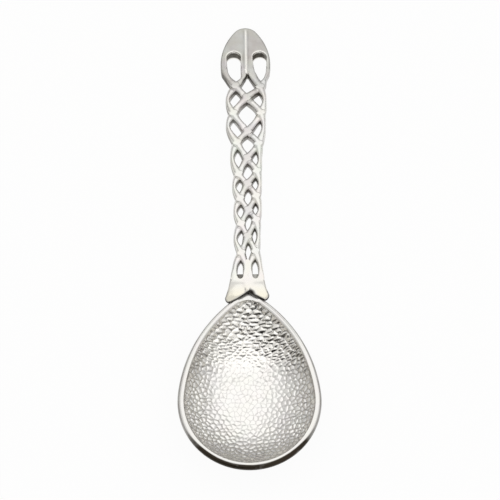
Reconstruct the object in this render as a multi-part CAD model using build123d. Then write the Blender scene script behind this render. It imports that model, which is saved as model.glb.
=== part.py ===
from build123d import *
import math
import os

# Welsh love spoon in cast pewter, lying face up on a table, in millimetres.
# +Z is up, +Y points from the bowl to the head, and the origin is the middle of
# the small flat under the bowl, on the table.

# Bowl: its inner edge is a pear of three radii, drawn round the tip, the neck and the sides.
bowl_tip_radius = 15.35
bowl_neck_radius = 4.3
bowl_side_radius = 33.0
bowl_neck_distance = 20.9
bowl_floor = 1.6
bowl_edge_angle = 75.0
rest_flat_radius = 4.5
inner_flat_radius = 1.5
bowl_steps = 7

# Rim: a band that sits on the shoulder of the bowl and folds over its lip.
rim_level = 9.0
rim_width = 1.9
rim_height = 1.4
rim_round = 0.9
rim_overhang = 0.25
lip_width = 0.7
flange_height = 0.5

# Tang of the bowl, which the collar holds.
tang_width = 3.6
tang_height = 1.2
tang_reach = 1.6

# Handle: an arched band of one thickness, from the collar's end face to the head's roots.
handle_thickness = 2.5
handle_lift = 0.7
joint_distance = 3.1

# Plait of four strands, listed from the head down: the side crossings, the edge turns
# between them, and how far below each side crossing the next middle crossing lies.
head_run = 5.0
cell_lengths = (8.0, 9.8, 7.5, 7.3, 6.9, 6.9)
middle_drops = (3.0, 5.0, 3.2, 3.2, 3.2, 3.2)
crossing_offsets = (3.0, 3.7, 3.0, 2.65, 2.4, 2.15, 2.1)
edge_offsets = (4.45, 4.35, 3.25, 2.95, 2.8, 2.7)
collar_run = 8.1
stem_run = 4.7
stem_offsets = (-2.75, -0.72, 0.72, 2.75)

# Strands: width at the top and the bottom of the plait, and the crown of their faces.
strand_width_top = 1.7
strand_width_bottom = 1.3
strand_gap = 0.28
strand_crown = 0.2
strand_side = 0.28
root_blend = 2.8
sections_per_row = 3

# Ends of the strands: places across the handle, widths, and tenons.
head_roots = (-5.62, -0.76, 0.76, 5.62)
head_root_widths = (1.0, 1.4, 1.4, 1.0)
collar_roots = (-3.25, -0.58, 0.58, 3.25)
collar_root_widths = (1.4, 1.06, 1.06, 1.4)
tenon_width = 0.5
tenon_height = 1.1
tenon_length = 1.4

# Head: a plate with a rounded tip, two eyes that open towards the plait, and a ridge.
head_length = 13.7
head_tip_half = 1.5
head_tip_crown = 0.2
head_edge_radius = 15.9
head_widest = 2.2
head_half_width = 6.3
eye_offset = 3.3
eye_width = 3.7
eye_top = 6.1
edge_round = 0.3
ridge_width = 0.5
ridge_height = 0.15
ridge_length = 12.6

# Collar: two lobes over the neck of the rim, and a heel behind that holds the tang.
# Outline points are half widths and distances below the joint with the strands.
collar_half_width = 4.15
collar_side = (4.65, 2.15)
lobe_widest = (5.35, 4.3)
lobe_corner = (5.1, 5.35)
lobe_tip = (4.2, 5.9)
lobe_edge = (2.1, 4.8)
notch_drop = 3.2
collar_crown_radius = 20.0
heel_half_width = 3.0
heel_cover = 0.6
heel_reach = 2.0

# Clearance of every tenon, lip and socket in its seat.
fit_gap = 0.03

shoulder_level = rim_level - rim_height
lip_level = rim_level - flange_height
neck_level = rim_level + handle_lift
joint_y = bowl_neck_distance + bowl_neck_radius + rim_width + joint_distance
handle_run = head_run + sum(cell_lengths) + collar_run
strand_thickness = (handle_thickness - strand_gap) / 2
weave_height = (strand_thickness + strand_gap) / 2


def head_clearance(angle):
    """Height of the head's lower tip over the table, for an arch that ends at this slope."""
    radius = handle_run / angle
    root = neck_level - radius * (1 - math.cos(angle))
    return root - head_length * math.sin(angle) - handle_thickness / 2 * math.cos(angle)


def arch_slope():
    """Slope of the head at which its tip rests on the table, found by halving."""
    low, high = 0.01, 0.8
    for _ in range(60):
        middle = (low + high) / 2
        if head_clearance(middle) > 0:
            low = middle
        else:
            high = middle
    return low


head_slope = arch_slope()
arch_radius = handle_run / head_slope


def on_handle(across, along, height):
    """Point of the arched handle: across it, along it from the collar, and above its middle."""
    turn = along / arch_radius
    reach = arch_radius + height
    rise = reach * math.cos(turn) - arch_radius
    return Vector(across, joint_y + reach * math.sin(turn), neck_level + rise)


def handle_plane(along, across=0.0):
    """Cross-section plane of the handle, facing the head, with its Y along the handle's normal."""
    turn = along / arch_radius
    ahead = Vector(0, math.cos(turn), -math.sin(turn))
    return Plane(on_handle(across, along, 0), x_dir=(-1, 0, 0), z_dir=ahead)


def pear(grow, scale=1.0):
    """Pear-shaped face: the bowl's inner edge moved outwards by grow, then scaled about the origin."""
    tip = bowl_tip_radius + grow
    neck = bowl_neck_radius + grow
    side = bowl_side_radius + grow
    to_tip = bowl_side_radius - bowl_tip_radius
    to_neck = bowl_side_radius - bowl_neck_radius
    centre_y = (to_tip**2 - to_neck**2 + bowl_neck_distance**2) / (2 * bowl_neck_distance)
    centre_x = math.sqrt(to_tip**2 - centre_y**2)
    low_turn = math.atan2(-centre_y, centre_x)
    high_turn = math.atan2(bowl_neck_distance - centre_y, centre_x)

    def polar(x, y, radius, turn):
        return Vector(x + radius * math.cos(turn), y + radius * math.sin(turn)) * scale

    def mirrored(point):
        return Vector(-point.X, point.Y)

    bottom = Vector(0, -tip) * scale
    tip_middle = polar(0, 0, tip, (low_turn - math.pi / 2) / 2)
    low = polar(0, 0, tip, low_turn)
    side_middle = polar(-centre_x, centre_y, side, (low_turn + high_turn) / 2)
    high = polar(0, bowl_neck_distance, neck, high_turn)
    top = Vector(0, bowl_neck_distance + neck) * scale
    edges = [
        ThreePointArc(bottom, tip_middle, low),
        ThreePointArc(low, side_middle, high),
        ThreePointArc(high, top, mirrored(high)),
        ThreePointArc(mirrored(high), mirrored(side_middle), mirrored(low)),
        ThreePointArc(mirrored(low), mirrored(tip_middle), bottom),
    ]
    return make_face(edges)


def bowl_form(grow, top, bottom, flat_radius):
    """Solid of the bowl's rounding: pears that shrink like slices of an ellipsoid, down to a flat."""
    edge = math.radians(bowl_edge_angle)
    flat = math.asin(flat_radius / (bowl_tip_radius + grow) * math.sin(edge))
    slices = []
    for step in range(bowl_steps):
        turn = edge + (flat - edge) * step / (bowl_steps - 1)
        sunk = (math.cos(turn) - math.cos(edge)) / (math.cos(flat) - math.cos(edge))
        level = top + (bottom - top) * sunk
        slices.append(Pos(0, 0, level) * pear(grow, math.sin(turn) / math.sin(edge)))
    return loft(slices)


def slab(face, low, high):
    """Solid of a face raised from one level to another."""
    return extrude(Pos(0, 0, low) * face, amount=high - low, dir=(0, 0, 1))


def make_tang(grow):
    """Tang that runs out of the bowl's neck under the rim, enlarged by a clearance."""
    length = joint_y - joint_distance + tang_reach + grow
    middle = shoulder_level - fit_gap - tang_height / 2
    return Pos(0, length / 2, middle) * Box(tang_width + 2 * grow, length, tang_height + 2 * grow)


def make_bowl():
    """Bowl with its lip and its tang, hollowed out."""
    wall = bowl_form(rim_width - rim_overhang, shoulder_level, 0, rest_flat_radius)
    lip = slab(pear(lip_width - fit_gap), shoulder_level, lip_level - fit_gap)
    hollow = bowl_form(0, lip_level, bowl_floor, inner_flat_radius)
    return wall + lip + make_tang(0) - hollow


def make_rim():
    """Rim band with a rounded outer edge and a rebate for the lip."""
    band = slab(pear(rim_width) - pear(0), shoulder_level, rim_level)
    outer = band.faces().sort_by(Axis.Z)[-1].outer_wire().edges()
    band = fillet(outer, rim_round)
    return band - slab(pear(lip_width), shoulder_level, lip_level)


def tenon(along, across, grow):
    """Tenon across a joint face of the handle, half in each piece, enlarged by a clearance."""
    return handle_plane(along, across) * Box(
        tenon_width + 2 * grow, tenon_height + 2 * grow, 2 * (tenon_length + grow)
    )


def plait_rows():
    """Rows of the plait from the head down, as (along, is_side_row, offset of its outermost points)."""
    rows = []
    along = handle_run - head_run
    for cell, drop, crossing, edge in zip(cell_lengths, middle_drops, crossing_offsets, edge_offsets):
        rows.append((along, True, crossing))
        rows.append((along - drop, False, edge))
        along -= cell
    rows.append((along, True, crossing_offsets[-1]))
    return rows


def plait_points():
    """Points of the four strands, woven over and under: one per row, as (across, along, height).

    In a side row both outer pairs swap, and the strand that heads right is on top.
    In a middle row the inner pair swaps, and the strand that heads left is on top.
    """
    places = [0, 1, 2, 3]
    points = [[(root, handle_run, 0.0)] for root in head_roots]
    for along, is_side_row, offset in plait_rows():
        if is_side_row:
            for first, sign in ((0, -1), (2, 1)):
                points[places[first]].append((sign * offset, along, weave_height))
                points[places[first + 1]].append((sign * offset, along, -weave_height))
                places[first], places[first + 1] = places[first + 1], places[first]
        else:
            points[places[0]].append((-offset, along, 0.0))
            points[places[1]].append((0.0, along, -weave_height))
            points[places[2]].append((0.0, along, weave_height))
            points[places[3]].append((offset, along, 0.0))
            places[1], places[2] = places[2], places[1]
    for place, strand in enumerate(places):
        points[strand].append((stem_offsets[place], stem_run, 0.0))
        points[strand].append((collar_roots[place], 0.0, 0.0))
    return points, places


def eased(value, limit):
    """Smooth step from 0 to 1 as the value goes from 0 to its limit."""
    share = min(max(value / limit, 0.0), 1.0)
    return share * share * (3 - 2 * share)


def strand_section(along, plane, head_width, collar_width):
    """Crowned cross-section of a strand, fuller towards its two ends."""
    from_head = eased(handle_run - along, root_blend)
    from_collar = eased(along, root_blend)
    share = along / handle_run
    width = strand_width_bottom + (strand_width_top - strand_width_bottom) * share
    width = head_width + (width - head_width) * from_head
    width = collar_width + (width - collar_width) * from_collar
    free = from_head * from_collar
    thick = handle_thickness + (strand_thickness - handle_thickness) * free
    half_flat = width / 2 - strand_side * min(width, thick) / strand_thickness
    half_side = thick / 2 - strand_crown
    corners = [
        Vector(half_flat, half_side),
        Vector(-half_flat, half_side),
        Vector(-half_flat, -half_side),
        Vector(half_flat, -half_side),
    ]
    bulges = [Vector(0, thick / 2), Vector(-width / 2, 0), Vector(0, -thick / 2), Vector(width / 2, 0)]
    edges = []
    for corner in range(4):
        edges.append(ThreePointArc(corners[corner], bulges[corner], corners[(corner + 1) % 4]))
    return plane * make_face(edges)


def strand_slopes(along, values):
    """Slopes of a smooth line through the values: level at its ends and at each turning point."""
    slopes = [0.0] * len(values)
    for i in range(1, len(values) - 1):
        before = (values[i] - values[i - 1]) / (along[i] - along[i - 1])
        after = (values[i + 1] - values[i]) / (along[i + 1] - along[i])
        if before * after > 0:
            slopes[i] = 2 * before * after / (before + after)
    return slopes


def hermite(values, slopes, row, span, share):
    """Value and slope, at a share of the span after a row, of the cubic through these values."""
    low, high = values[row], values[row + 1]
    low_slope, high_slope = slopes[row], slopes[row + 1]
    rise = high - low
    square = share * share
    bend = low_slope * span + high_slope * span - 2 * rise
    lean = 3 * rise - 2 * low_slope * span - high_slope * span
    value = low + low_slope * span * share + lean * square + bend * square * share
    slope = low_slope + (2 * lean * share + 3 * bend * square) / span
    return value, slope


def make_strand(points, head_width, collar_width):
    """Strand of the plait: crowned sections along a smooth line through its crossings, with tenons."""
    across, along, height = zip(*points)
    across_slopes = strand_slopes(along, across)
    height_slopes = strand_slopes(along, height)
    sections = []
    for step in range(sections_per_row * (len(points) - 1) + 1):
        row = min(step // sections_per_row, len(points) - 2)
        share = step / sections_per_row - row
        span = along[row + 1] - along[row]
        place = along[row] + span * share
        offset, lean = hermite(across, across_slopes, row, span, share)
        lift, _ = hermite(height, height_slopes, row, span, share)
        seat = handle_plane(place)
        ahead = Vector(-lean, 0, 0) - seat.z_dir
        plane = Plane(on_handle(offset, place, lift), x_dir=seat.y_dir.cross(ahead), z_dir=ahead)
        sections.append(strand_section(place, plane, head_width, collar_width))
    body = loft(sections, ruled=True)
    return body + tenon(handle_run, across[0], 0) + tenon(0, across[-1], 0)


def make_head():
    """Head plate with its eyes, its rounded edges, its ridge and the sockets of the four strands."""
    centre = head_half_width - head_edge_radius

    def edge_at(along):
        return centre + math.sqrt(head_edge_radius**2 - (along - head_widest) ** 2)

    tip_y = head_length - head_tip_crown
    middle_y = head_length / 2
    right = ThreePointArc((edge_at(0), 0), (edge_at(middle_y), middle_y), (head_tip_half, tip_y))
    tip = ThreePointArc((head_tip_half, tip_y), (0, head_length), (-head_tip_half, tip_y))
    left = mirror(right, about=Plane.YZ)
    root = Line((-edge_at(0), 0), (edge_at(0), 0))
    plate = make_face([right, tip, left, root])
    for side in (-1, 1):
        eye_centre = Pos(side * eye_offset, eye_top - eye_width / 2)
        plate -= eye_centre * Circle(eye_width / 2)
        plate -= eye_centre * Rectangle(eye_width, eye_top, align=(Align.CENTER, Align.MAX))
    half = handle_thickness / 2
    head = extrude(Pos(0, 0, -half) * plate, amount=handle_thickness)
    rims = [edge for edge in head.faces().sort_by(Axis.Z)[-1].edges() if edge.center().Y > edge_round]
    head = fillet(rims, edge_round)
    ridge = Pos(0, (head_length - ridge_length) / 2, half) * Box(
        ridge_width, ridge_length, 2 * ridge_height, align=(Align.CENTER, Align.MIN, Align.CENTER)
    )
    normal = (0, math.sin(head_slope), math.cos(head_slope))
    seat = Plane(on_handle(0, handle_run, 0), x_dir=(1, 0, 0), z_dir=normal)
    head = seat * (head + ridge)
    for across in head_roots:
        head -= tenon(handle_run, across, fit_gap)
    return head


def collar_outline():
    """Lobed outline of the collar's cap, with a notch over the neck of the rim."""

    def below(point):
        return Vector(point[0], joint_y - point[1])

    corner = Vector(collar_half_width, joint_y)
    right = [
        ThreePointArc(corner, below(collar_side), below(lobe_widest)),
        ThreePointArc(below(lobe_widest), below(lobe_corner), below(lobe_tip)),
        ThreePointArc(below(lobe_tip), below(lobe_edge), below((0, notch_drop))),
    ]
    left = [mirror(edge, about=Plane.YZ) for edge in right]
    return make_face(right + left + [Line(corner, (-collar_half_width, joint_y))])


def make_heel():
    """Heel of the collar: it follows the back of the bowl under the rim, round the tang."""
    low = shoulder_level - fit_gap - tang_height - heel_cover
    tang_end = joint_y - joint_distance + tang_reach
    back = joint_y - joint_distance - rim_width - heel_reach
    profile = Polyline(
        (0, joint_y, rim_level + fit_gap),
        (0, joint_y, neck_level - handle_thickness / 2),
        (0, tang_end + heel_cover, low),
        (0, back, low),
        (0, back, rim_level + fit_gap),
        close=True,
    )
    heel = extrude(make_face(profile.edges()), amount=heel_half_width, dir=(1, 0, 0), both=True)
    heel -= slab(pear(rim_width + fit_gap), shoulder_level - fit_gap, rim_level + fit_gap)
    return heel - bowl_form(rim_width - rim_overhang + fit_gap, shoulder_level, 0, rest_flat_radius)


def make_collar():
    """Collar: a crowned, lobed cap on the neck of the rim, its heel, and the sockets in them."""
    top = neck_level + handle_thickness / 2
    past_lobes = 2 * collar_crown_radius
    crown = Rot(X=90) * Cylinder(collar_crown_radius, past_lobes)
    cap = slab(collar_outline(), rim_level, top) & Pos(0, joint_y, top - collar_crown_radius) * crown
    collar = cap + make_heel() - make_tang(fit_gap)
    for across in collar_roots:
        collar -= tenon(0, across, fit_gap)
    return collar


os.makedirs("parts", exist_ok=True)

pieces = {"bowl": make_bowl(), "rim_band": make_rim(), "collar": make_collar(), "head": make_head()}
strand_names = ("strand_left_outer", "strand_left_inner", "strand_right_inner", "strand_right_outer")
strand_points, strand_places = plait_points()
for strand, name in enumerate(strand_names):
    collar_width = collar_root_widths[strand_places.index(strand)]
    pieces[name] = make_strand(strand_points[strand], head_root_widths[strand], collar_width)

for name, piece in pieces.items():
    export_step(piece, f"parts/{name}.step")
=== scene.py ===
"""Looks of a cast pewter love spoon: pebbled bowl, smooth rim, collar, four plaited strands and head.

Sizes are in millimetres, in the part's own frame: the origin is under the middle of the bowl, on the
table, +Y points from the bowl to the head and +Z is up. Meshes are scaled to metres as they are made.
"""

import logging
import math
from dataclasses import dataclass, field
from enum import Enum

import bmesh
import bpy
import numpy as np
from mathutils import Matrix, Vector
from mathutils.geometry import delaunay_2d_cdt


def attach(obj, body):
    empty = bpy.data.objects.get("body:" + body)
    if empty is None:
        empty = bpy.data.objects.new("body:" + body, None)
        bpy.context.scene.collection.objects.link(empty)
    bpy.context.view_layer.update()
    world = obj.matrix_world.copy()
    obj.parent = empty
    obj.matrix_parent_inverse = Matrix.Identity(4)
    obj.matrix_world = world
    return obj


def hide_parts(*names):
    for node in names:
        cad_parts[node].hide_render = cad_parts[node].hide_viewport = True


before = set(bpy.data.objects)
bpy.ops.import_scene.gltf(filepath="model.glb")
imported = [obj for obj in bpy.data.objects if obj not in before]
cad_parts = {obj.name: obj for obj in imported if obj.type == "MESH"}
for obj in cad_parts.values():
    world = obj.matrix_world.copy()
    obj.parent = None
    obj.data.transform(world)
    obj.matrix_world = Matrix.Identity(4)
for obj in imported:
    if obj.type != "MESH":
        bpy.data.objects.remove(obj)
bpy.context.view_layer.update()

MM = 0.001
TINY = 1e-6
HONEYCOMB_ROW = math.sqrt(3.0) / 2.0
WHITE = (1.0, 1.0, 1.0, 1.0)
PATINA_AND_SHADING = "patina_and_shading"
LOG = logging.getLogger("love_spoon")
Pair = tuple[float, float]


def smooth_step(value: np.ndarray, low: float, high: float) -> np.ndarray:
    """Eases from 0 to 1 as the value goes from low to high, level at both ends.

    Args:
        value: Values of any shape.
        low: Value where the step starts.
        high: Value where it ends, which may be below low.

    Returns:
        Shares from 0 to 1, of the same shape.
    """
    share = np.clip((value - low) / (high - low), 0.0, 1.0)
    return share * share * (3.0 - 2.0 * share)


def between(ends: Pair, share: np.ndarray) -> np.ndarray:
    """Goes evenly from the first end to the second as the share goes from 0 to 1."""
    return ends[0] + (ends[1] - ends[0]) * share


def bell(distance: np.ndarray, half: float) -> np.ndarray:
    """Bell curve of a distance d with a half width w: exp(-(d/w)^2)."""
    return np.exp(-((distance / half) ** 2))


def superellipse(turn: np.ndarray, power: np.ndarray | float) -> tuple[np.ndarray, np.ndarray]:
    """Point of the rounded section |x|^n + |y|^n = 1 at each turn.

    Its coordinates are the turn's cosine and sine, raised to 2/n with their signs kept.

    Args:
        turn: Turns, in radians.
        power: The power n: 2 gives a circle, and more gives squarer corners.

    Returns:
        Coordinates to the side and upwards.
    """
    side, rise = np.cos(turn), np.sin(turn)
    bend = 2.0 / power
    return np.sign(side) * np.abs(side) ** bend, np.sign(rise) * np.abs(rise) ** bend


def smooth_line(knots: np.ndarray, values: np.ndarray, at: np.ndarray) -> tuple[np.ndarray, np.ndarray]:
    """Smooth line through values that never swings past them.

    Between two knots it is a cubic. Its slope at a knot is the harmonic mean of the slopes on
    both sides, and level at a turning point and at the ends.

    Args:
        knots: Rising places of the values.
        values: Values there.
        at: Places at which the line is wanted.

    Returns:
        The line's values and slopes.
    """
    rises = np.diff(values) / np.diff(knots)
    before, after = rises[:-1], rises[1:]
    steady = before * after > 0.0
    total = np.where(steady, before + after, 1.0)
    slopes = np.zeros(len(values))
    slopes[1:-1] = np.where(steady, 2.0 * before * after / total, 0.0)
    row = np.clip(np.searchsorted(knots, at, side="right") - 1, 0, len(knots) - 2)
    span = knots[row + 1] - knots[row]
    share = np.clip((at - knots[row]) / span, 0.0, 1.0)
    start, end = slopes[row] * span, slopes[row + 1] * span
    rise = values[row + 1] - values[row]
    bend = start + end - 2.0 * rise
    lean = 3.0 * rise - 2.0 * start - end
    value = values[row] + share * (start + share * (lean + share * bend))
    return value, (start + share * (2.0 * lean + 3.0 * share * bend)) / span


def grid_faces(rows: int, columns: int, close_rows: bool = False, close_columns: bool = False) -> np.ndarray:
    """Four-sided faces of a grid of points that are numbered row by row.

    Args:
        rows: Number of rows of points.
        columns: Number of points in a row.
        close_rows: Joins the last row to the first.
        close_columns: Joins the last point of each row to its first.

    Returns:
        Array of four point numbers a face.
    """
    row = np.arange(rows if close_rows else rows - 1)
    column = np.arange(columns if close_columns else columns - 1)
    low, left = (axis.ravel() for axis in np.meshgrid(row, column, indexing="ij"))
    high = (low + 1) % rows
    right = (left + 1) % columns
    corners = [low * columns + left, low * columns + right, high * columns + right, high * columns + left]
    return np.stack(corners, axis=1)


def arc_through(start: Pair, middle: Pair, end: Pair, count: int) -> np.ndarray:
    """Points on the circular arc through three points, evenly spaced, without the last one.

    The centre is where the perpendicular bisectors of the two chords meet, and the turn goes
    from the start to the end by way of the middle.

    Args:
        start: First point.
        middle: Point on the way.
        end: Last point.
        count: Number of points.

    Returns:
        Array of count points.
    """
    first, second, third = (np.array(point, float) for point in (start, middle, end))
    chords = np.stack([second - first, third - first])
    centre = first + np.linalg.solve(2.0 * chords, (chords**2).sum(axis=1))
    spokes = np.stack([first, second, third]) - centre
    turns = np.unwrap(np.arctan2(spokes[:, 1], spokes[:, 0]))
    turn = turns[0] + (turns[2] - turns[0]) * np.arange(count) / count
    return centre + np.hypot(*spokes[0]) * np.stack([np.cos(turn), np.sin(turn)], axis=1)


def depth_inside(points: np.ndarray, outline: np.ndarray) -> np.ndarray:
    """Distance of each point to a closed outline, negative outside it.

    The distance is the least one to the outline's straight pieces, and a point is inside when a
    ray from it crosses the outline an odd number of times.

    Args:
        points: Points in the plane.
        outline: Corners of the outline, in order.

    Returns:
        One signed distance a point.
    """
    start = outline[None]
    step = np.roll(outline, -1, axis=0)[None] - start
    offset = points[:, None] - start
    share = np.clip((offset * step).sum(axis=2) / (step**2).sum(axis=2), 0.0, 1.0)
    gap = np.linalg.norm(offset - share[..., None] * step, axis=2).min(axis=1)
    above = offset[..., 1] < 0.0
    end_above = (offset - step)[..., 1] < 0.0
    level = np.where(step[..., 1] == 0.0, 1.0, step[..., 1])
    beyond = offset[..., 0] < step[..., 0] * offset[..., 1] / level
    inside = ((above != end_above) & beyond).sum(axis=1) % 2 == 1
    return np.where(inside, gap, -gap)


def add_object(name: str, data: bpy.types.ID) -> bpy.types.Object:
    """Puts a mesh, a light or a camera into the scene.

    Args:
        name: Name of the object.
        data: What it shows.

    Returns:
        The new object, at the origin.
    """
    made = bpy.data.objects.new(name, data)
    bpy.context.scene.collection.objects.link(made)
    return made


def add_node(
    tree: bpy.types.NodeTree, kind: str, inputs: dict | None = None, **settings: object,
) -> bpy.types.Node:
    """Adds a node with its settings, values and links.

    Args:
        tree: Node tree that it goes into.
        kind: Type of the node.
        inputs: Values or sockets, by the name or number of the input that takes them. A name that
            several inputs share means the one that is shown.
        **settings: Properties of the node.

    Returns:
        The new node.
    """
    node = tree.nodes.new(kind)
    for name, value in settings.items():
        setattr(node, name, value)
    for key, value in (inputs or {}).items():
        shown = [entry for entry in node.inputs if entry.enabled and entry.name == key]
        socket = node.inputs[key] if isinstance(key, int) else shown[0]
        if isinstance(value, bpy.types.NodeSocket):
            tree.links.new(value, socket)
        else:
            socket.default_value = value
    return node


@dataclass
class Shell:
    """Closed surface gathered from patches of points, with a share of patina and painted shading at each
    point.

    A share of 1 is dark, 0 is bare metal and -1 is bright. Dark shares carry patina and painted shade, bright
    ones rubbed metal and painted highlights.
    """

    points: list[np.ndarray] = field(default_factory=list)
    patina_and_shading: list[np.ndarray] = field(default_factory=list)
    faces: list[list[int]] = field(default_factory=list)
    count: int = 0

    def add(self, points: np.ndarray, patina_and_shading: np.ndarray | float, faces: np.ndarray) -> int:
        """Adds a patch.

        Args:
            points: Array of points, of any shape before its last axis.
            patina_and_shading: Share of patina and painted shading at each point.
            faces: Point numbers of each face, counted within the patch.

        Returns:
            Number of the patch's first point in the shell.
        """
        first = self.count
        flat = points.reshape(-1, 3)
        self.points.append(flat)
        self.patina_and_shading.append(np.broadcast_to(patina_and_shading, points.shape[:-1]).ravel())
        self.faces.extend((faces + first).tolist())
        self.count += len(flat)
        return first

    def join(self, faces: np.ndarray) -> None:
        """Adds faces between patches, by their point numbers in the shell."""
        self.faces.extend(faces.tolist())

    def add_tube(self, points: np.ndarray, patina_and_shading: np.ndarray) -> None:
        """Adds a tube with a flat face at both ends.

        Args:
            points: Rings of points, one after the other along the tube.
            patina_and_shading: Share of patina and painted shading at each point.
        """
        rings, sides = points.shape[:2]
        first = self.add(points, patina_and_shading, grid_faces(rings, sides, close_columns=True))
        end = first + np.arange(sides)[None]
        self.join(end)
        self.join(end + (rings - 1) * sides)

    def add_wall(self, border: np.ndarray, below: int, wall: np.ndarray, patina_and_shading: np.ndarray | float) -> None:
        """Joins the shell's first patch to a lower one of as many points by a wall between their borders.

        Args:
            border: Numbers of the first patch's border points, in order.
            below: Number of the lower patch's first point.
            wall: Rows of points between the two borders, from the top down.
            patina_and_shading: Share of patina and painted shading at each point of the wall.
        """
        rows, columns = wall.shape[:2]
        first = self.add(wall, patina_and_shading, grid_faces(rows, columns, close_columns=True))
        last = first + (rows - 1) * columns
        ring = np.arange(columns)
        ahead = np.roll(ring, -1)
        self.join(np.stack([border, border[ahead], first + ahead, first + ring], axis=1))
        self.join(np.stack([last + ring, last + ahead, below + border[ahead], below + border], axis=1))

    def to_piece(self, name: str, node: str, crease: float = 50.0) -> bpy.types.Object:
        """Makes the shell a piece that stands for a node of the frame.

        Args:
            name: Name of the piece.
            node: Node that it replaces.
            crease: Angle between faces, in degrees, past which their edge stays sharp.

        Returns:
            The new object, at the origin.
        """
        mesh = bpy.data.meshes.new(name)
        mesh.from_pydata((np.concatenate(self.points) * MM).tolist(), [], self.faces)
        shares = mesh.attributes.new(PATINA_AND_SHADING, "FLOAT", "POINT")
        shares.data.foreach_set("value", np.concatenate(self.patina_and_shading).astype(np.float32))
        work = bmesh.new()
        work.from_mesh(mesh)
        bmesh.ops.recalc_face_normals(work, faces=work.faces)
        work.to_mesh(mesh)
        work.free()
        mesh.shade_smooth()
        mesh.set_sharp_from_angle(angle=math.radians(crease))
        piece = add_object(name, mesh)
        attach(piece, "root")
        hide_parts(node)
        LOG.info("%s: %d faces in place of %s", name, len(mesh.polygons), node)
        return piece


@dataclass(frozen=True)
class Pear:
    """Inner edge of the bowl: a large circle at the tip, a small one at the neck, and two side arcs."""

    tip_radius: float = 15.35
    neck_radius: float = 4.3
    side_radius: float = 33.0
    neck_distance: float = 20.9
    soft_half: Pair = (15.3, 19.8)
    soft_middle: float = 4.7
    soft_power: float = 2.5

    def side_centre(self) -> Pair:
        """Distance of the side arcs' centres from the midline, and their place along it.

        Returns:
            Both distances, worked out from where each side arc touches the two circles.
        """
        to_tip = self.side_radius - self.tip_radius
        to_neck = self.side_radius - self.neck_radius
        along = (to_tip**2 - to_neck**2 + self.neck_distance**2) / (2.0 * self.neck_distance)
        return math.sqrt(to_tip**2 - along**2), along

    def side_turns(self) -> Pair:
        """Directions of the right side arc's two ends, seen from its centre."""
        across, along = self.side_centre()
        return math.atan2(-along, across), math.atan2(self.neck_distance - along, across)

    def reach(self, turn: np.ndarray, grow: float) -> np.ndarray:
        """Distance from the origin to the edge, moved outwards by grow, in each direction.

        A ray meets a circle at (c.d) + sqrt(r^2 - c.c + (c.d)^2), for centre c and direction d.

        Args:
            turn: Directions, in radians from +X.
            grow: Distance that the edge is moved outwards.

        Returns:
            One distance a direction.
        """
        side_x, side_y = self.side_centre()
        low, high = self.side_turns()
        across, along = np.abs(np.cos(turn)), np.sin(turn)
        fold = np.arctan2(along, across)

        def to_circle(x: float, y: float, radius: float) -> np.ndarray:
            """Distance to the far side of a circle along the rays."""
            middle = x * across + y * along
            return middle + np.sqrt(np.maximum(radius**2 - x**2 - y**2 + middle**2, 0.0))

        neck = self.neck_radius + grow
        neck_start = math.atan2(self.neck_distance + neck * math.sin(high), neck * math.cos(high))
        side = to_circle(-side_x, side_y, self.side_radius + grow)
        end = to_circle(0.0, self.neck_distance, neck)
        return np.where(fold < low, self.tip_radius + grow, np.where(fold < neck_start, side, end))

    def inner_reach(self, turn: np.ndarray, share: np.ndarray, grow: float) -> np.ndarray:
        """Distance from the origin at which a rounding at a share of the way out would meet the edge.

        Near the middle the rounding follows an ellipse, and towards the edge it goes over to the
        pear with a power of the share. A ray meets the ellipse at the larger root of a quadratic.

        Args:
            turn: Directions, in radians from +X.
            share: Shares of the way from the middle to the edge.
            grow: Distance that the edge is moved outwards.

        Returns:
            One distance a direction.
        """
        wide, long = (half + grow for half in self.soft_half)
        square = (np.cos(turn) / wide) ** 2 + (np.sin(turn) / long) ** 2
        lean = np.sin(turn) * self.soft_middle / long**2
        ellipse = (lean + np.sqrt(lean**2 + square * (1.0 - (self.soft_middle / long) ** 2))) / square
        return ellipse + (self.reach(turn, grow) - ellipse) * share**self.soft_power

    def edge(self, count: int) -> tuple[np.ndarray, np.ndarray]:
        """Points evenly spaced along the edge, from the tip round by +X, with their outward normals.

        Each point is an arc's centre plus its radius times the normal, and the left half mirrors
        the right one.

        Args:
            count: Number of points, which is even.

        Returns:
            Points and normals.
        """
        side_x, side_y = self.side_centre()
        low, high = self.side_turns()
        centres = np.array([[0.0, 0.0], [-side_x, side_y], [0.0, self.neck_distance]])
        radii = np.array([self.tip_radius, self.side_radius, self.neck_radius])
        starts = np.array([-math.pi / 2.0, low, high])
        ends = np.append(starts[1:], math.pi / 2.0)
        passed = np.append(0.0, np.cumsum(radii * (ends - starts)))
        walked = np.linspace(0.0, passed[-1], count // 2 + 1)
        arc = np.clip(np.searchsorted(passed, walked, side="right") - 1, 0, 2)
        turn = starts[arc] + (walked - passed[arc]) / radii[arc]
        normal = np.stack([np.cos(turn), np.sin(turn)], axis=1)
        point = centres[arc] + radii[arc, None] * normal
        flip = np.array([-1.0, 1.0])
        left = slice(-2, 0, -1)
        return np.concatenate([point, point[left] * flip]), np.concatenate([normal, normal[left] * flip])


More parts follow.
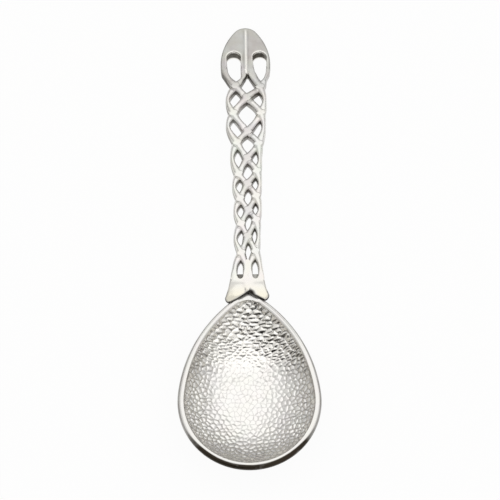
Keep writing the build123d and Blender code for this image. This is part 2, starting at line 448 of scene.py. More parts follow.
@dataclass(frozen=True)
class Arch:
    """Line of the handle: an arc that leaves the collar level and slopes down until the head's tip rests."""

    joint_y: float = 30.2
    neck_level: float = 9.7
    run: float = 59.5
    head_length: float = 13.7
    thickness: float = 2.5
    slope_limits: Pair = (0.01, 0.8)
    halvings: int = 60

    def slope(self) -> float:
        """Slope of the head, in radians, at which its lower tip touches the table, found by halving.

        Returns:
            The slope at the arc's end.
        """
        low, high = self.slope_limits
        for _ in range(self.halvings):
            angle = (low + high) / 2.0
            root = self.neck_level - self.run / angle * (1.0 - math.cos(angle))
            tip = root - self.head_length * math.sin(angle) - self.thickness / 2.0 * math.cos(angle)
            low, high = (angle, high) if tip > 0.0 else (low, angle)
        return low

    def place(self, across: np.ndarray, along: np.ndarray, height: np.ndarray) -> np.ndarray:
        """Points of the handle: across it, along it from the collar, and above its middle.

        Along the arc the height is laid off on its radius; past its end the handle runs straight.

        Args:
            across: Distances to the right of the midline.
            along: Distances along the arc.
            height: Distances above the middle of the handle's thickness.

        Returns:
            Array of points in the part's frame.
        """
        slope = self.slope()
        radius = self.run / slope
        turn = np.minimum(along, self.run) / radius
        past = np.maximum(along - self.run, 0.0)
        y = self.joint_y + (radius + height) * np.sin(turn) + past * math.cos(slope)
        z = self.neck_level - radius + (radius + height) * np.cos(turn) - past * math.sin(slope)
        return np.stack(np.broadcast_arrays(across, y, z), axis=-1)


@dataclass(frozen=True)
class PewterFinish:
    """Lead-free pewter, cast and then burnished by hand.

    To the eye it is a warm silver-grey metal with soft reflections, bright where it was rubbed and
    darkened by a brown-black patina where the rubbing didn't reach. The same bright and dark
    colours also carry painted highlights and painted shade.
    """

    name: str
    metal: str
    patina_and_shading: str
    burnished_roughness: float
    patina_roughness: float
    grain_mm: float
    grain_depth_mm: float
    mottle: float = 0.1
    cloud_mm: float = 4.0
    rubbed_and_highlight: str = "#faf7f0"
    cloud_detail: float = 3.0
    grain_detail: float = 4.0
    noise_span: Pair = (0.3, 0.7)
    cloud_shares: Pair = (0.7, 1.15)
    grain_shares: Pair = (0.85, 1.15)

    @staticmethod
    def linear(colour: str) -> tuple[float, float, float, float]:
        """Turns an sRGB hex colour to the linear values that shaders take.

        Args:
            colour: Six hex digits after a hash sign.

        Returns:
            Linear red, green and blue, and an alpha of 1.
        """
        values = np.array([int(colour[i:i + 2], 16) / 255.0 for i in (1, 3, 5)])
        linear = np.where(values <= 0.04045, values / 12.92, ((values + 0.055) / 1.055) ** 2.4)
        return (*linear.tolist(), 1.0)

    def make(self) -> bpy.types.Material:
        """Builds the node material: patina and painted shading by the mesh's attribute, clouds and grain by
        place.

        Returns:
            The new material.
        """
        material = bpy.data.materials.new(self.name)
        material.use_nodes = True
        tree = material.node_tree
        shader = tree.nodes["Principled BSDF"]
        place = add_node(tree, "ShaderNodeTexCoord").outputs["Object"]
        patina_and_shading = add_node(tree, "ShaderNodeAttribute", attribute_name=PATINA_AND_SHADING).outputs["Fac"]
        cloud = add_node(tree, "ShaderNodeTexNoise", {
            "Vector": place, "Scale": 1.0 / (self.cloud_mm * MM), "Detail": self.cloud_detail,
        })
        grain = add_node(tree, "ShaderNodeTexNoise", {
            "Vector": place, "Scale": 1.0 / (self.grain_mm * MM), "Detail": self.grain_detail,
        }).outputs["Fac"]
        low, high = self.noise_span
        uneven = add_node(tree, "ShaderNodeMapRange", {
            "Value": cloud.outputs["Fac"], "From Min": low, "From Max": high,
            "To Min": self.cloud_shares[0], "To Max": self.cloud_shares[1],
        })
        share = add_node(tree, "ShaderNodeMath", {
            0: patina_and_shading, 1: uneven.outputs["Result"],
        }, operation="MULTIPLY", use_clamp=True)
        metal = add_node(tree, "ShaderNodeMix", {
            "Factor": self.mottle, "A": self.linear(self.metal), "B": cloud.outputs["Color"],
        }, data_type="RGBA", blend_type="OVERLAY")
        # The dark colour carries patina and painted shade.
        tint = add_node(tree, "ShaderNodeMix", {
            "Factor": share.outputs["Value"], "A": metal.outputs["Result"], "B": self.linear(self.patina_and_shading),
        }, data_type="RGBA", clamp_factor=True)
        # Below zero the share turns to the bright colour: rubbed metal and painted highlights.
        bright = add_node(tree, "ShaderNodeMapRange", {"Value": patina_and_shading, "From Min": 0.0, "From Max": -1.0})
        colour = add_node(tree, "ShaderNodeMix", {
            "Factor": bright.outputs["Result"], "A": tint.outputs["Result"], "B": self.linear(self.rubbed_and_highlight),
        }, data_type="RGBA", clamp_factor=True)
        rough = add_node(tree, "ShaderNodeMapRange", {
            "Value": patina_and_shading, "From Min": -1.0,
            "To Min": self.burnished_roughness, "To Max": self.patina_roughness,
        })
        speckle = add_node(tree, "ShaderNodeMapRange", {
            "Value": grain, "From Min": low, "From Max": high,
            "To Min": self.grain_shares[0], "To Max": self.grain_shares[1],
        })
        roughness = add_node(tree, "ShaderNodeMath", {
            0: rough.outputs["Result"], 1: speckle.outputs["Result"],
        }, operation="MULTIPLY", use_clamp=True)
        bump = add_node(tree, "ShaderNodeBump", {"Height": grain, "Distance": self.grain_depth_mm * MM})
        shader.inputs["Metallic"].default_value = 1.0
        tree.links.new(colour.outputs["Result"], shader.inputs["Base Color"])
        tree.links.new(roughness.outputs["Value"], shader.inputs["Roughness"])
        tree.links.new(bump.outputs["Normal"], shader.inputs["Normal"])
        return material


CAST = PewterFinish(
    name="satin cast pewter", metal="#e5e3de", patina_and_shading="#4a453d",
    burnished_roughness=0.16, patina_roughness=0.4, grain_mm=0.35, grain_depth_mm=0.02, mottle=0.25,
)
POLISHED = PewterFinish(
    name="polished pewter", metal="#e0deda", patina_and_shading="#3a342c",
    burnished_roughness=0.14, patina_roughness=0.4, grain_mm=0.5, grain_depth_mm=0.008, rubbed_and_highlight="#e8e6e2",
)
BURNISHED = PewterFinish(
    name="burnished pewter", metal="#e6e3dc", patina_and_shading="#2a2622",
    burnished_roughness=0.14, patina_roughness=0.4, grain_mm=0.5, grain_depth_mm=0.008, rubbed_and_highlight="#e8e3d2",
)
PEBBLED = PewterFinish(
    name="pebbled pewter", metal="#e9e7e3", patina_and_shading="#38332c",
    burnished_roughness=0.04, patina_roughness=0.2, grain_mm=0.4, grain_depth_mm=0.006,
)


@dataclass
class Bowl:
    """Bowl: a rounding of scaled pears, pebbled inside and smooth on its back."""

    pear: Pear
    # Walls
    inner_grow: float = 0.25
    floor_level: float = 1.6
    lip_level: float = 8.47
    shoulder_level: float = 7.6
    wall: float = 1.65
    lip: float = 0.67
    edge_angle: float = 75.0
    rest_flat_radius: float = 4.5
    inner_flat_radius: float = 1.5
    back_cells: int = 130
    # Pebbles
    pebble_spacing: float = 1.25
    pebble_jitter: float = 0.36
    pebble_weight: Pair = (0.82, 1.18)
    pebble_crown: Pair = (0.6, 1.15)
    pebble_lean: float = 0.8
    pebble_height: float = 0.2
    pebble_reach: int = 44
    pebble_seed: int = 11
    dome_run: float = 0.85
    relief_datum: float = 0.62
    plain_edge: float = 0.35
    # Wear of the pebbles, and their greater size and height by the neck
    worn_middle: float = 3.5
    worn_half: Pair = (12.5, 17.0)
    worn_run: Pair = (0.45, 1.15)
    worn_relief: Pair = (0.6, 1.5)
    tip_worn: float = 0.45
    tip_run: Pair = (-6.0, -13.0)
    neck_relief: float = 1.0
    neck_relief_run: Pair = (10.0, 17.0)
    neck_stretch: Pair = (0.38, 0.19)
    # Patina in the gaps; painted shade at the tip, on the pebbles' lee sides, under the rim, on the lip and
    # on the back; a painted highlight on the crests
    gap_patina: float = 0.5
    gap_run: float = 0.2
    worn_gap: Pair = (0.65, 1.2)
    neck_gap: float = -0.3
    neck_gap_run: Pair = (8.0, 14.0)
    tip_painted_shade: float = 0.16
    lee_painted_shade: Pair = (0.65, 1.0)
    lee_run: Pair = (0.14, 0.27)
    lee_place: Pair = (5.0, 12.0)
    lee_side: Pair = (-7.0, 7.0)
    crest_highlight: float = 0.75
    crest_run: Pair = (8.0, 14.0)
    crest_dark: float = 0.3
    edge_shading: float = 0.4
    edge_shading_run: float = 0.45
    edge_shading_span: Pair = (14.0, 6.0)
    lip_painted_shade: float = 0.5
    back_painted_shade: Pair = (0.3, 0.6)

    def level(self, share: np.ndarray, top: float, bottom: float, flat_share: float) -> np.ndarray:
        """Height of the rounding at a share of the way from the middle to the edge.

        The share is the sine of a turn over the sine of the edge's angle, as on a slice of an
        ellipsoid, and the height goes with the turn's cosine. Inside the flat it stays level.

        Args:
            share: Shares from 0 in the middle to 1 at the edge.
            top: Height of the edge.
            bottom: Height of the flat.
            flat_share: Share at which the flat ends.

        Returns:
            One height a share.
        """
        edge = math.radians(self.edge_angle)
        turn = np.arcsin(np.clip(np.maximum(share, flat_share) * math.sin(edge), 0.0, 1.0))
        flat = math.asin(flat_share * math.sin(edge))
        sunk = (np.cos(turn) - math.cos(edge)) / (math.cos(flat) - math.cos(edge))
        return top + (bottom - top) * sunk

    def rounding(self, cells: int, grow: float, top: float, bottom: float, flat: float) -> np.ndarray:
        """Rounded surface on a square grid that is drawn out to the pear.

        A square of side 2 becomes a disc by (a sqrt(1 - b^2/2), b sqrt(1 - a^2/2)), and each
        point of the disc goes that share of the way to the edge in its direction.

        Args:
            cells: Number of cells on each side of the grid.
            grow: Distance of the edge outside the pear.
            top: Height of the edge.
            bottom: Height of the flat.
            flat: Radius of the flat towards the tip.

        Returns:
            Points on a grid, of shape cells + 1, cells + 1, 3.
        """
        side = np.linspace(-1.0, 1.0, cells + 1)
        a, b = np.meshgrid(side, side, indexing="ij")
        disc_x = a * np.sqrt(1.0 - b**2 / 2.0)
        disc_y = b * np.sqrt(1.0 - a**2 / 2.0)
        share = np.minimum(np.hypot(disc_x, disc_y), 1.0)
        turn = np.arctan2(disc_y, disc_x)
        reach = share * self.pear.inner_reach(turn, share, grow)
        level = self.level(share, top, bottom, flat / (self.pear.tip_radius + grow))
        return np.stack([reach * np.cos(turn), reach * np.sin(turn), level], axis=-1)

    def pebbles(self, points: np.ndarray) -> tuple[np.ndarray, np.ndarray]:
        """Relief of the pebbles, as if the bowl were rolled out flat.

        Each point is laid off in its direction by its distance from the middle of the bowl's
        floor. The pebbles' middles are the points of a honeycomb, moved by chance, and each pebble
        is a dome that falls to the line half way to its neighbour: its height goes with the
        difference of the distances to the two nearest middles. Each has its own size, height and
        lean by chance, and by the neck they are drawn wider across and shorter along.

        Args:
            points: Grid of points on the smooth bowl.

        Returns:
            Relief from 0 in the gaps to about 1, and the patina in the gaps.
        """
        chance = np.random.default_rng(self.pebble_seed)
        size = 2 * self.pebble_reach
        jitter = chance.uniform(-self.pebble_jitter, self.pebble_jitter, (size, size, 2))
        weight = chance.uniform(*self.pebble_weight, (size, size))
        crown = chance.uniform(*self.pebble_crown, (size, size))
        lean = chance.uniform(-self.pebble_lean, self.pebble_lean, (size, size, 2))
        x, y = points[..., 0], points[..., 1]
        flat = np.hypot(x, y)
        stretch = np.sqrt(flat**2 + (points[..., 2] - self.floor_level) ** 2) / np.maximum(flat, TINY)
        wider, shorter = (share * smooth_step(y, *self.neck_relief_run) for share in self.neck_stretch)
        p = x * stretch * (1.0 - wider) / self.pebble_spacing
        q = y * stretch / (self.pebble_spacing * HONEYCOMB_ROW) * (1.0 + shorter)
        nearest = np.full(p.shape, np.inf)
        second = np.full(p.shape, np.inf)
        height = np.zeros(p.shape)
        nearby = range(-1, 3)
        base_row = np.floor(q).astype(int)
        for row_offset in nearby:
            row = base_row + row_offset
            shift = 0.5 * (row % 2)
            base_column = np.floor(p - shift).astype(int)
            for column_offset in nearby:
                column = base_column + column_offset
                cell = (row + self.pebble_reach, column + self.pebble_reach)
                across = p - (column + shift + jitter[cell][..., 0])
                along = (q - row) * HONEYCOMB_ROW - jitter[cell][..., 1]
                gap = np.hypot(across, along) * weight[cell]
                closer = gap < nearest
                second = np.where(closer, nearest, np.minimum(second, gap))
                tilt = lean[cell][..., 0] * across + lean[cell][..., 1] * along
                height = np.where(closer, crown[cell] + tilt, height)
                nearest = np.minimum(nearest, gap)
        apart = np.clip((second - nearest) / self.dome_run, 0.0, 1.0)
        dome = 1.0 - (1.0 - apart) ** 2
        return dome * height, self.gap_patina * (1.0 - smooth_step(apart, 0.0, self.gap_run))

    def inside(self, cells: int) -> tuple[np.ndarray, np.ndarray]:
        """Pebbled inside of the bowl: a smooth rounding that is raised along its normals.

        The pebbles are worn low in the middle and at the tip, stand higher by the neck and fade
        out at the rim. Their gaps are dark. By the neck the sides that face the tip are darkened, a
        painted shade, and the crests are lightened, a painted highlight. The pebbles towards the tip
        and a band along the edge by the rim, except by the neck, take painted shade too.

        Args:
            cells: Number of cells on each side of the grid.

        Returns:
            Grid of points, and the share of patina and painted shading at each.
        """
        smooth = self.rounding(
            cells, self.inner_grow, self.lip_level, self.floor_level, self.inner_flat_radius,
        )
        normal = self.normals(smooth)
        relief, gap = self.pebbles(smooth)
        x, y = smooth[..., 0], smooth[..., 1]
        to_edge = self.pear.reach(np.arctan2(y, x), self.inner_grow) - np.hypot(x, y)
        fade = smooth_step(to_edge, 0.0, self.plain_edge)
        wide, long = self.worn_half
        kept = smooth_step(np.hypot(x / wide, (y - self.worn_middle) / long), *self.worn_run)
        at_tip = smooth_step(y, *self.tip_run)
        neck = self.neck_relief * smooth_step(y, *self.neck_relief_run)
        height = self.pebble_height * (between(self.worn_relief, kept) + neck)
        height *= 1.0 - self.tip_worn * at_tip
        raised = smooth + normal * (fade * height * (relief - self.relief_datum))[..., None]
        gap *= between(self.worn_gap, kept)
        gap *= 1.0 + self.neck_gap * smooth_step(y, *self.neck_gap_run)
        # Painted shade: the pebbles towards the tip are darkened, while their worn gaps grow lighter.
        gap += (self.tip_painted_shade - self.tip_worn * gap) * at_tip
        # Painted shade: by the neck the pebbles' sides that face the tip are darkened.
        lee = smooth_step(normal[..., 1] - self.normals(raised)[..., 1], *self.lee_run)
        lee *= smooth_step(y, *self.lee_place) * between(self.lee_painted_shade, smooth_step(x, *self.lee_side))
        dark = np.maximum(gap, lee)
        # Painted highlight: the crests by the neck are lightened.
        rub_and_highlight = self.crest_highlight * smooth_step(y, *self.crest_run) * smooth_step(dark, self.crest_dark, 0.0)
        # Painted shade: a dark band along the edge by the rim, fading out by the neck.
        shade_by_rim = self.edge_shading * smooth_step(to_edge, self.edge_shading_run, 0.0)
        return raised, fade * (dark - rub_and_highlight) + shade_by_rim * smooth_step(y, *self.edge_shading_span)

    def build(self) -> bpy.types.Object:
        """Joins the pebbled inside, the lip and the back to one closed piece.

        The back has half as many cells, so each step of its border meets two of the lip's. Its
        painted shade grows from the flat up to the lip.

        Returns:
            The bowl.
        """
        shell = Shell()
        cells = 2 * self.back_cells
        inside, patina_and_shading = self.inside(cells)
        shell.add(inside, patina_and_shading, grid_faces(cells + 1, cells + 1))
        back = self.rounding(self.back_cells, self.wall, self.shoulder_level, 0.0, self.rest_flat_radius)
        # Painted shade on the back, darker from the flat up to the lip.
        back_shade = between(self.back_painted_shade, smooth_step(back[..., 2], 0.0, self.shoulder_level))
        back_first = shell.add(back, back_shade, grid_faces(self.back_cells + 1, self.back_cells + 1))
        loop = self.border(cells)
        back_loop = back_first + self.border(self.back_cells)
        edge = inside.reshape(-1, 3)[loop]
        turn = np.arctan2(edge[:, 1], edge[:, 0])
        reach = self.pear.reach(turn, self.lip)
        lip = np.stack([
            np.stack([reach * np.cos(turn), reach * np.sin(turn), np.full(len(loop), level)], axis=1)
            for level in (self.lip_level, self.shoulder_level)
        ])
        # Painted shade on the lip, under the rim.
        lip_first = shell.add(lip, self.lip_painted_shade, grid_faces(2, len(loop), close_columns=True))
        upper = lip_first + np.arange(len(loop))
        lower = upper + len(loop)
        shell.join(np.stack([loop, np.roll(loop, -1), np.roll(upper, -1), upper], axis=1))
        shell.join(np.stack([
            lower[0::2], lower[1::2], np.roll(lower, -2)[0::2], np.roll(back_loop, -1), back_loop,
        ], axis=1))
        return shell.to_piece("bowl_pebbled", "bowl")

    @staticmethod
    def normals(points: np.ndarray) -> np.ndarray:
        """Upward unit normals of a grid of points: the cross product of its two directions."""
        normal = np.cross(np.gradient(points, axis=0), np.gradient(points, axis=1))
        return normal / np.linalg.norm(normal, axis=-1, keepdims=True)

    @staticmethod
    def border(cells: int) -> np.ndarray:
        """Numbers of a square grid's border points, in order round it."""
        number = np.arange((cells + 1) ** 2).reshape(cells + 1, cells + 1)
        return np.concatenate([number[:-1, 0], number[-1, :-1], number[:0:-1, -1], number[0, :0:-1]])


@dataclass
class RimBand:
    """Rim: a profile with a flat top, a rounded outer edge and a rebate, carried round the pear."""

    pear: Pear
    # Profile
    inner_start: float = 0.25
    width: float = 1.75
    top: float = 9.0
    height: float = 1.4
    outer_round: float = 1.05
    outer_fall: float = 0.95
    inner_bevel: Pair = (0.15, 0.15)
    neck_bevel: Pair = (0.85, 0.42)
    neck_bevel_span: Pair = (0.2, 0.6)
    lower_bevel: float = 0.15
    least_flat: float = 0.05
    crown: float = 0.02
    lip: float = 0.7
    flange: float = 0.5
    level_neck: Pair = (0.8, 0.92)
    # Painted dark reflection on the outer edge, with pairs for the sides and the tip, and the top lightened,
    # partly rubbed and partly a painted highlight
    tip_span: Pair = (-0.35, -0.8)
    dark_from: Pair = (1.2, 0.68)
    dark_run: float = 0.3
    darkness: Pair = (0.5, 1.2)
    rub_and_highlight: float = 0.3
    lighten_below: float = 0.15
    # Points
    inner_points: int = 5
    flat_points: int = 9
    outer_points: int = 19
    stations: int = 480

    def profile(self, bevel: Pair) -> np.ndarray:
        """Points of the profile as distance outside the pear and height.

        Args:
            bevel: Width and depth of the rounding at the inner edge.

        Returns:
            Points, in order from the inner edge over the top to the rebate.
        """
        bottom = self.top - self.height
        seat = self.top - self.flange
        flat_start = self.inner_start + bevel[0]
        flat_end = max(self.width - self.outer_round, flat_start + self.least_flat)
        flat = np.linspace(flat_start, flat_end, self.flat_points)
        bulge = np.sin(np.pi * np.linspace(0.0, 1.0, self.flat_points)) * self.crown
        turn = np.linspace(0.0, math.pi / 2.0, self.outer_points)[1:]
        inner_turn = np.linspace(math.pi, math.pi / 2.0, self.inner_points)[:-1]
        inner = np.stack([
            self.inner_start + bevel[0] * (1.0 + np.cos(inner_turn)),
            self.top - bevel[1] * (1.0 - np.sin(inner_turn)),
        ], axis=1)
        over = np.stack([flat, self.top + bulge - self.crown], axis=1)
        outer = np.stack([
            self.width - (self.width - flat[-1]) * (1.0 - np.sin(turn)),
            self.top - self.crown - (self.outer_fall - self.crown) * (1.0 - np.cos(turn)),
        ], axis=1)
        under = np.array([
            [self.width, bottom + self.lower_bevel],
            [self.width - self.lower_bevel, bottom],
            [self.lip, bottom],
            [self.lip, seat],
            [self.inner_start, seat],
        ])
        return np.concatenate([inner, over, outer, under])

    def build(self) -> bpy.types.Object:
        """Carries the profile round the pear: each point is the edge moved out along its normal.

        Towards the neck the inner bevel grows, and under the collar the top is level.

        Returns:
            The rim.
        """
        edge, normal = self.pear.edge(self.stations)
        neck = smooth_step(normal[:, 1], *self.neck_bevel_span)[:, None, None]
        profile = self.profile(self.inner_bevel)
        profiles = profile + (self.profile(self.neck_bevel) - profile) * neck
        plane = edge[:, None] + normal[:, None] * profiles[..., :1]
        rounded = 1.0 - smooth_step(normal[:, 1], *self.level_neck)
        flat_top = np.arange(len(profile)) < np.argmin(np.abs(profile[:, 0] - self.width))
        drop = np.where(flat_top, profiles[..., 1] - self.top, 0.0)
        height = (profiles[..., 1] + (rounded[:, None] - 1.0) * drop)[..., None]
        # Painted dark reflection on the outer edge, wider and darker at the tip, and the top lightened,
        # partly rubbed and partly a painted highlight.
        tip = smooth_step(normal[:, 1], *self.tip_span)[:, None]
        start = between(self.dark_from, tip)
        dark = between(self.darkness, tip) * smooth_step(profiles[..., 0], start, start + self.dark_run)
        patina_and_shading = dark - self.rub_and_highlight * smooth_step(dark, self.lighten_below, 0.0)
        faces = grid_faces(self.stations, len(profile), close_rows=True, close_columns=True)
        shell = Shell()
        shell.add(np.concatenate([plane, height], axis=2), patina_and_shading, faces)
        return shell.to_piece("rim_smooth", "rim_band")


class Crossing(Enum):
    """What a strand does at a row of the plait."""

    OVER = "over"
    UNDER = "under"
    TURN = "turn"
    ROOT = "root"


@dataclass
class StrandRoute:
    """Points of one strand from the head down: along and across the handle, and what it does there."""

    along: list[float] = field(default_factory=list)
    across: list[float] = field(default_factory=list)
    crossing: list[Crossing] = field(default_factory=list)
    width: list[float] = field(default_factory=list)

    def add(self, along: float, across: float, crossing: Crossing, width: float = math.nan) -> None:
        """Adds the strand's next point.

        Args:
            along: Place along the handle.
            across: Place across it.
            crossing: What the strand does there.
            width: Its own width, at a root.
        """
        self.along.append(along)
        self.across.append(across)
        self.crossing.append(crossing)
        self.width.append(width)


@dataclass
class Plait:
    """Plait of four strands, woven over and under from the head down to the collar."""

    arch: Arch
    # Points along and across the handle, with widths at the roots
    side_rows: tuple[tuple[Pair, ...], ...] = (
        ((54.9, -2.6), (54.5, 3.6)),
        ((46.5, -3.2), (46.4, 3.7)),
        ((37.7, -2.35), (37.3, 2.95)),
        ((28.6, -2.0), (29.4, 2.45)),
        ((21.7, -1.75), (22.4, 2.2)),
        ((14.8, -1.6), (15.8, 2.1)),
        ((7.0, -1.6), (7.4, 1.85)),
    )
    middle_rows: tuple[tuple[Pair, ...], ...] = (
        ((50.4, -4.5), (51.2, 0.2), (50.5, 4.65)),
        ((42.7, -4.5), (41.0, 0.3), (42.6, 4.35)),
        ((33.2, -3.5), (33.1, 0.15), (32.8, 3.25)),
        ((25.0, -3.1), (25.8, 0.15), (25.7, 3.15)),
        ((18.0, -2.85), (18.6, 0.3), (18.8, 3.05)),
        ((10.7, -2.9), (11.4, 0.05), (11.7, 2.65)),
    )
    head_points: tuple[tuple[tuple[float, float, float], ...], ...] = (
        ((59.5, -5.31, 1.68), (57.9, -4.72, 1.55)),
        ((59.5, -0.45, 1.5), (58.2, -0.48, 1.45), (57.0, -0.85, 1.2)),
        ((59.5, 1.3, 1.95), (58.2, 1.75, 2.05)),
        ((59.5, 5.65, 1.0), (57.6, 5.12, 0.85)),
    )
    collar_points: tuple[tuple[tuple[float, float, float], ...], ...] = (
        ((3.5, -3.05, 1.4), (0.0, -3.4, 1.65)),
        ((3.5, -0.6, 1.3), (0.0, -0.58, 1.35)),
        ((3.5, 0.5, 1.25), (0.0, 0.5, 1.35)),
        ((3.5, 2.95, 1.2), (0.0, 3.2, 1.45)),
    )
    names: tuple[str, ...] = ("left_outer", "left_inner", "right_inner", "right_outer")
    # Widths, and how far above a crossing they are full, as pairs for the collar's end and the head's
    crossing_widths: Pair = (2.05, 2.3)
    span_widths: Pair = (1.4, 1.85)
    turn_widths: Pair = (1.0, 1.2)
    full_above: Pair = (-0.5, 0.4)
    # Heights and sections
    relief: float = 0.26
    gap: float = 0.02
    free_top: float = 1.2
    root_blend: float = 2.8
    root_overlap: float = 0.4
    dip_half: float = 0.9
    dip_ease: float = 0.8
    notch_half: float = 0.3
    notch_ease: float = 0.5
    squareness: float = 2.4
    lower_squareness: float = 4.5
    root_squareness: float = 8.0
    head_crown: float = 0.3
    head_half: float = 6.3
    crown_run: Pair = (52.0, 59.5)
    stations: int = 420
    sides: int = 48
    # Darkening of the flanks; along the handle's edges painted light on the outer flanks and painted shade on
    # the left; painted shade in its middle and by the head
    side_darkening: float = 0.62
    side_depth: Pair = (0.2, 0.7)
    side_reach: Pair = (0.8, 0.98)
    half_widths: Pair = (3.4, 5.8)
    outer_span: Pair = (0.55, 0.8)
    outer_painted_light: Pair = (0.4, 0.85)
    lightened_reach: Pair = (0.5, 0.9)
    left_painted_shade: float = 0.3
    left_run: Pair = (0.1, 0.85)
    middle_painted_shade: float = 0.15
    middle_half: float = 0.6
    middle_run: Pair = (2.8, 1.4)
    head_painted_shade: float = 0.32
    head_shade_run: Pair = (49.0, 59.0)

    def routes(self) -> list[StrandRoute]:
        """Weaves the four strands row by row, from points that are along and across the handle.

        In a side row both outer pairs swap, and the strand that heads right goes over. In a
        middle row the inner pair swaps, and the strand that heads left goes over.

        Returns:
            One route a strand, in the order of their roots at the head.
        """
        routes = [StrandRoute() for _ in self.names]
        places = [0, 1, 2, 3]
        for route, points in zip(routes, self.head_points):
            for along, across, width in points:
                route.add(along, across, Crossing.ROOT, width)
        for sides, middles in zip(self.side_rows, (*self.middle_rows, None)):
            for first, (along, across) in zip((0, 2), sides):
                routes[places[first]].add(along, across, Crossing.OVER)
                routes[places[first + 1]].add(along, across, Crossing.UNDER)
                places[first], places[first + 1] = places[first + 1], places[first]
            if middles is None:
                break
            left, centre, right = middles
            routes[places[0]].add(*left, Crossing.TURN)
            routes[places[1]].add(*centre, Crossing.UNDER)
            routes[places[2]].add(*centre, Crossing.OVER)
            routes[places[3]].add(*right, Crossing.TURN)
            places[1], places[2] = places[2], places[1]
        for place, strand in enumerate(places):
            for along, across, width in self.collar_points[place]:
                routes[strand].add(along, across, Crossing.ROOT, width)
        return routes

    def faces_of(self, route: StrandRoute, along: np.ndarray) -> tuple[np.ndarray, np.ndarray]:
        """Heights of a strand's upper and lower face along it.

        Away from the crossings it takes up nearly the whole thickness. Where it goes over, it is
        a thin bridge at the top, as thick as the relief. Where it goes under, its upper face dips
        to just below that bridge.

        Args:
            route: Route of the strand.
            along: Places along the handle.

        Returns:
            Upper and lower heights above the handle's middle.
        """
        half = self.arch.thickness / 2.0
        ends = np.minimum(along, self.arch.run - along)
        free = half + (self.free_top - half) * smooth_step(ends, 0.0, self.root_blend)
        upper, lower = free.copy(), -free
        for place, crossing in zip(route.along, route.crossing):
            apart = np.abs(along - place)
            dip = smooth_step(apart, self.dip_half + self.dip_ease, self.dip_half)
            notch = smooth_step(apart, self.notch_half + self.notch_ease, self.notch_half)
            if crossing is Crossing.OVER:
                upper += dip * (half - upper)
                lower += notch * (half - self.relief - lower)
            elif crossing is Crossing.UNDER:
                upper += dip * (half - self.relief - self.gap - upper)
        return upper, lower

    def taper(self, ends: Pair, along: np.ndarray) -> np.ndarray:
        """Value that goes evenly from its end at the collar to its end at the head."""
        return between(ends, along / self.arch.run)

    def widths(self, route: StrandRoute, knots: np.ndarray, along: np.ndarray) -> np.ndarray:
        """Width of a strand along it: full by the crossings, slimmer between them and at the turns.

        Args:
            route: Route of the strand, with its own widths at the roots.
            knots: Places of its points, rising.
            along: Places at which the width is wanted.

        Returns:
            One width a place.
        """
        roots = np.array([kind is Crossing.ROOT for kind in route.crossing[::-1]])
        turns = np.array([kind is Crossing.TURN for kind in route.crossing[::-1]])
        crosses = ~(roots | turns)
        at_knots = np.select(
            [roots, turns],
            [np.array(route.width[::-1]), self.taper(self.turn_widths, knots)],
            self.taper(self.crossing_widths, knots),
        )
        middles = ((knots[:-1] + knots[1:]) / 2.0)[crosses[:-1] & crosses[1:]]
        places = np.concatenate([knots + self.taper(self.full_above, knots) * crosses, middles])
        widths = np.concatenate([at_knots, self.taper(self.span_widths, middles)])
        order = np.argsort(places)
        return smooth_line(places[order], widths[order], along)[0]

    def patina_and_shading(
        self, route: StrandRoute, along: np.ndarray, across: np.ndarray, side: np.ndarray, deep: np.ndarray,
    ) -> np.ndarray:
        """Share of darkening and painted shading along a strand and round it.

        The flanks are darker below the top. Along the handle's edges the outer flank is painted
        lighter, more on the right than on the left, and the left edge takes a painted shade. A strand
        takes a little painted shade where it goes over in the middle of the handle, and by the head.

        Args:
            route: Route of the strand.
            along: Places along the handle.
            across: Places of the strand's middle line across it.
            side: Places across the section, from -1 to 1.
            deep: Depth of each point below the handle's top.

        Returns:
            One share a point.
        """
        patina_and_shading = self.side_darkening * smooth_step(deep, *self.side_depth)
        patina_and_shading *= smooth_step(np.abs(side), *self.side_reach)
        off_middle = np.abs(across) / self.taper(self.half_widths, along)
        outermost = smooth_step(off_middle, *self.outer_span)[:, None]
        # Painted light: the outer flanks along the handle's edges are lightened, far more on the right.
        lightened = np.where(across < 0.0, *self.outer_painted_light)[:, None]
        patina_and_shading *= 1.0 - lightened * outermost * smooth_step(side * np.sign(across)[:, None], *self.lightened_reach)
        # Painted shade on the left flank of the strands along the handle's left edge.
        on_left = np.where(across < 0.0, self.left_painted_shade, 0.0)[:, None]
        patina_and_shading += on_left * outermost * smooth_step(-side, *self.left_run)
        # Painted shade where a strand goes over in the middle of the handle.
        for place, offset, crossing in zip(route.along, route.across, route.crossing):
            if crossing is Crossing.OVER and abs(offset) < self.middle_half:
                patina_and_shading += self.middle_painted_shade * smooth_step(np.abs(along - place), *self.middle_run)[:, None]
        # Painted shade towards the head.
        return patina_and_shading + self.head_painted_shade * smooth_step(along, *self.head_shade_run)[:, None]

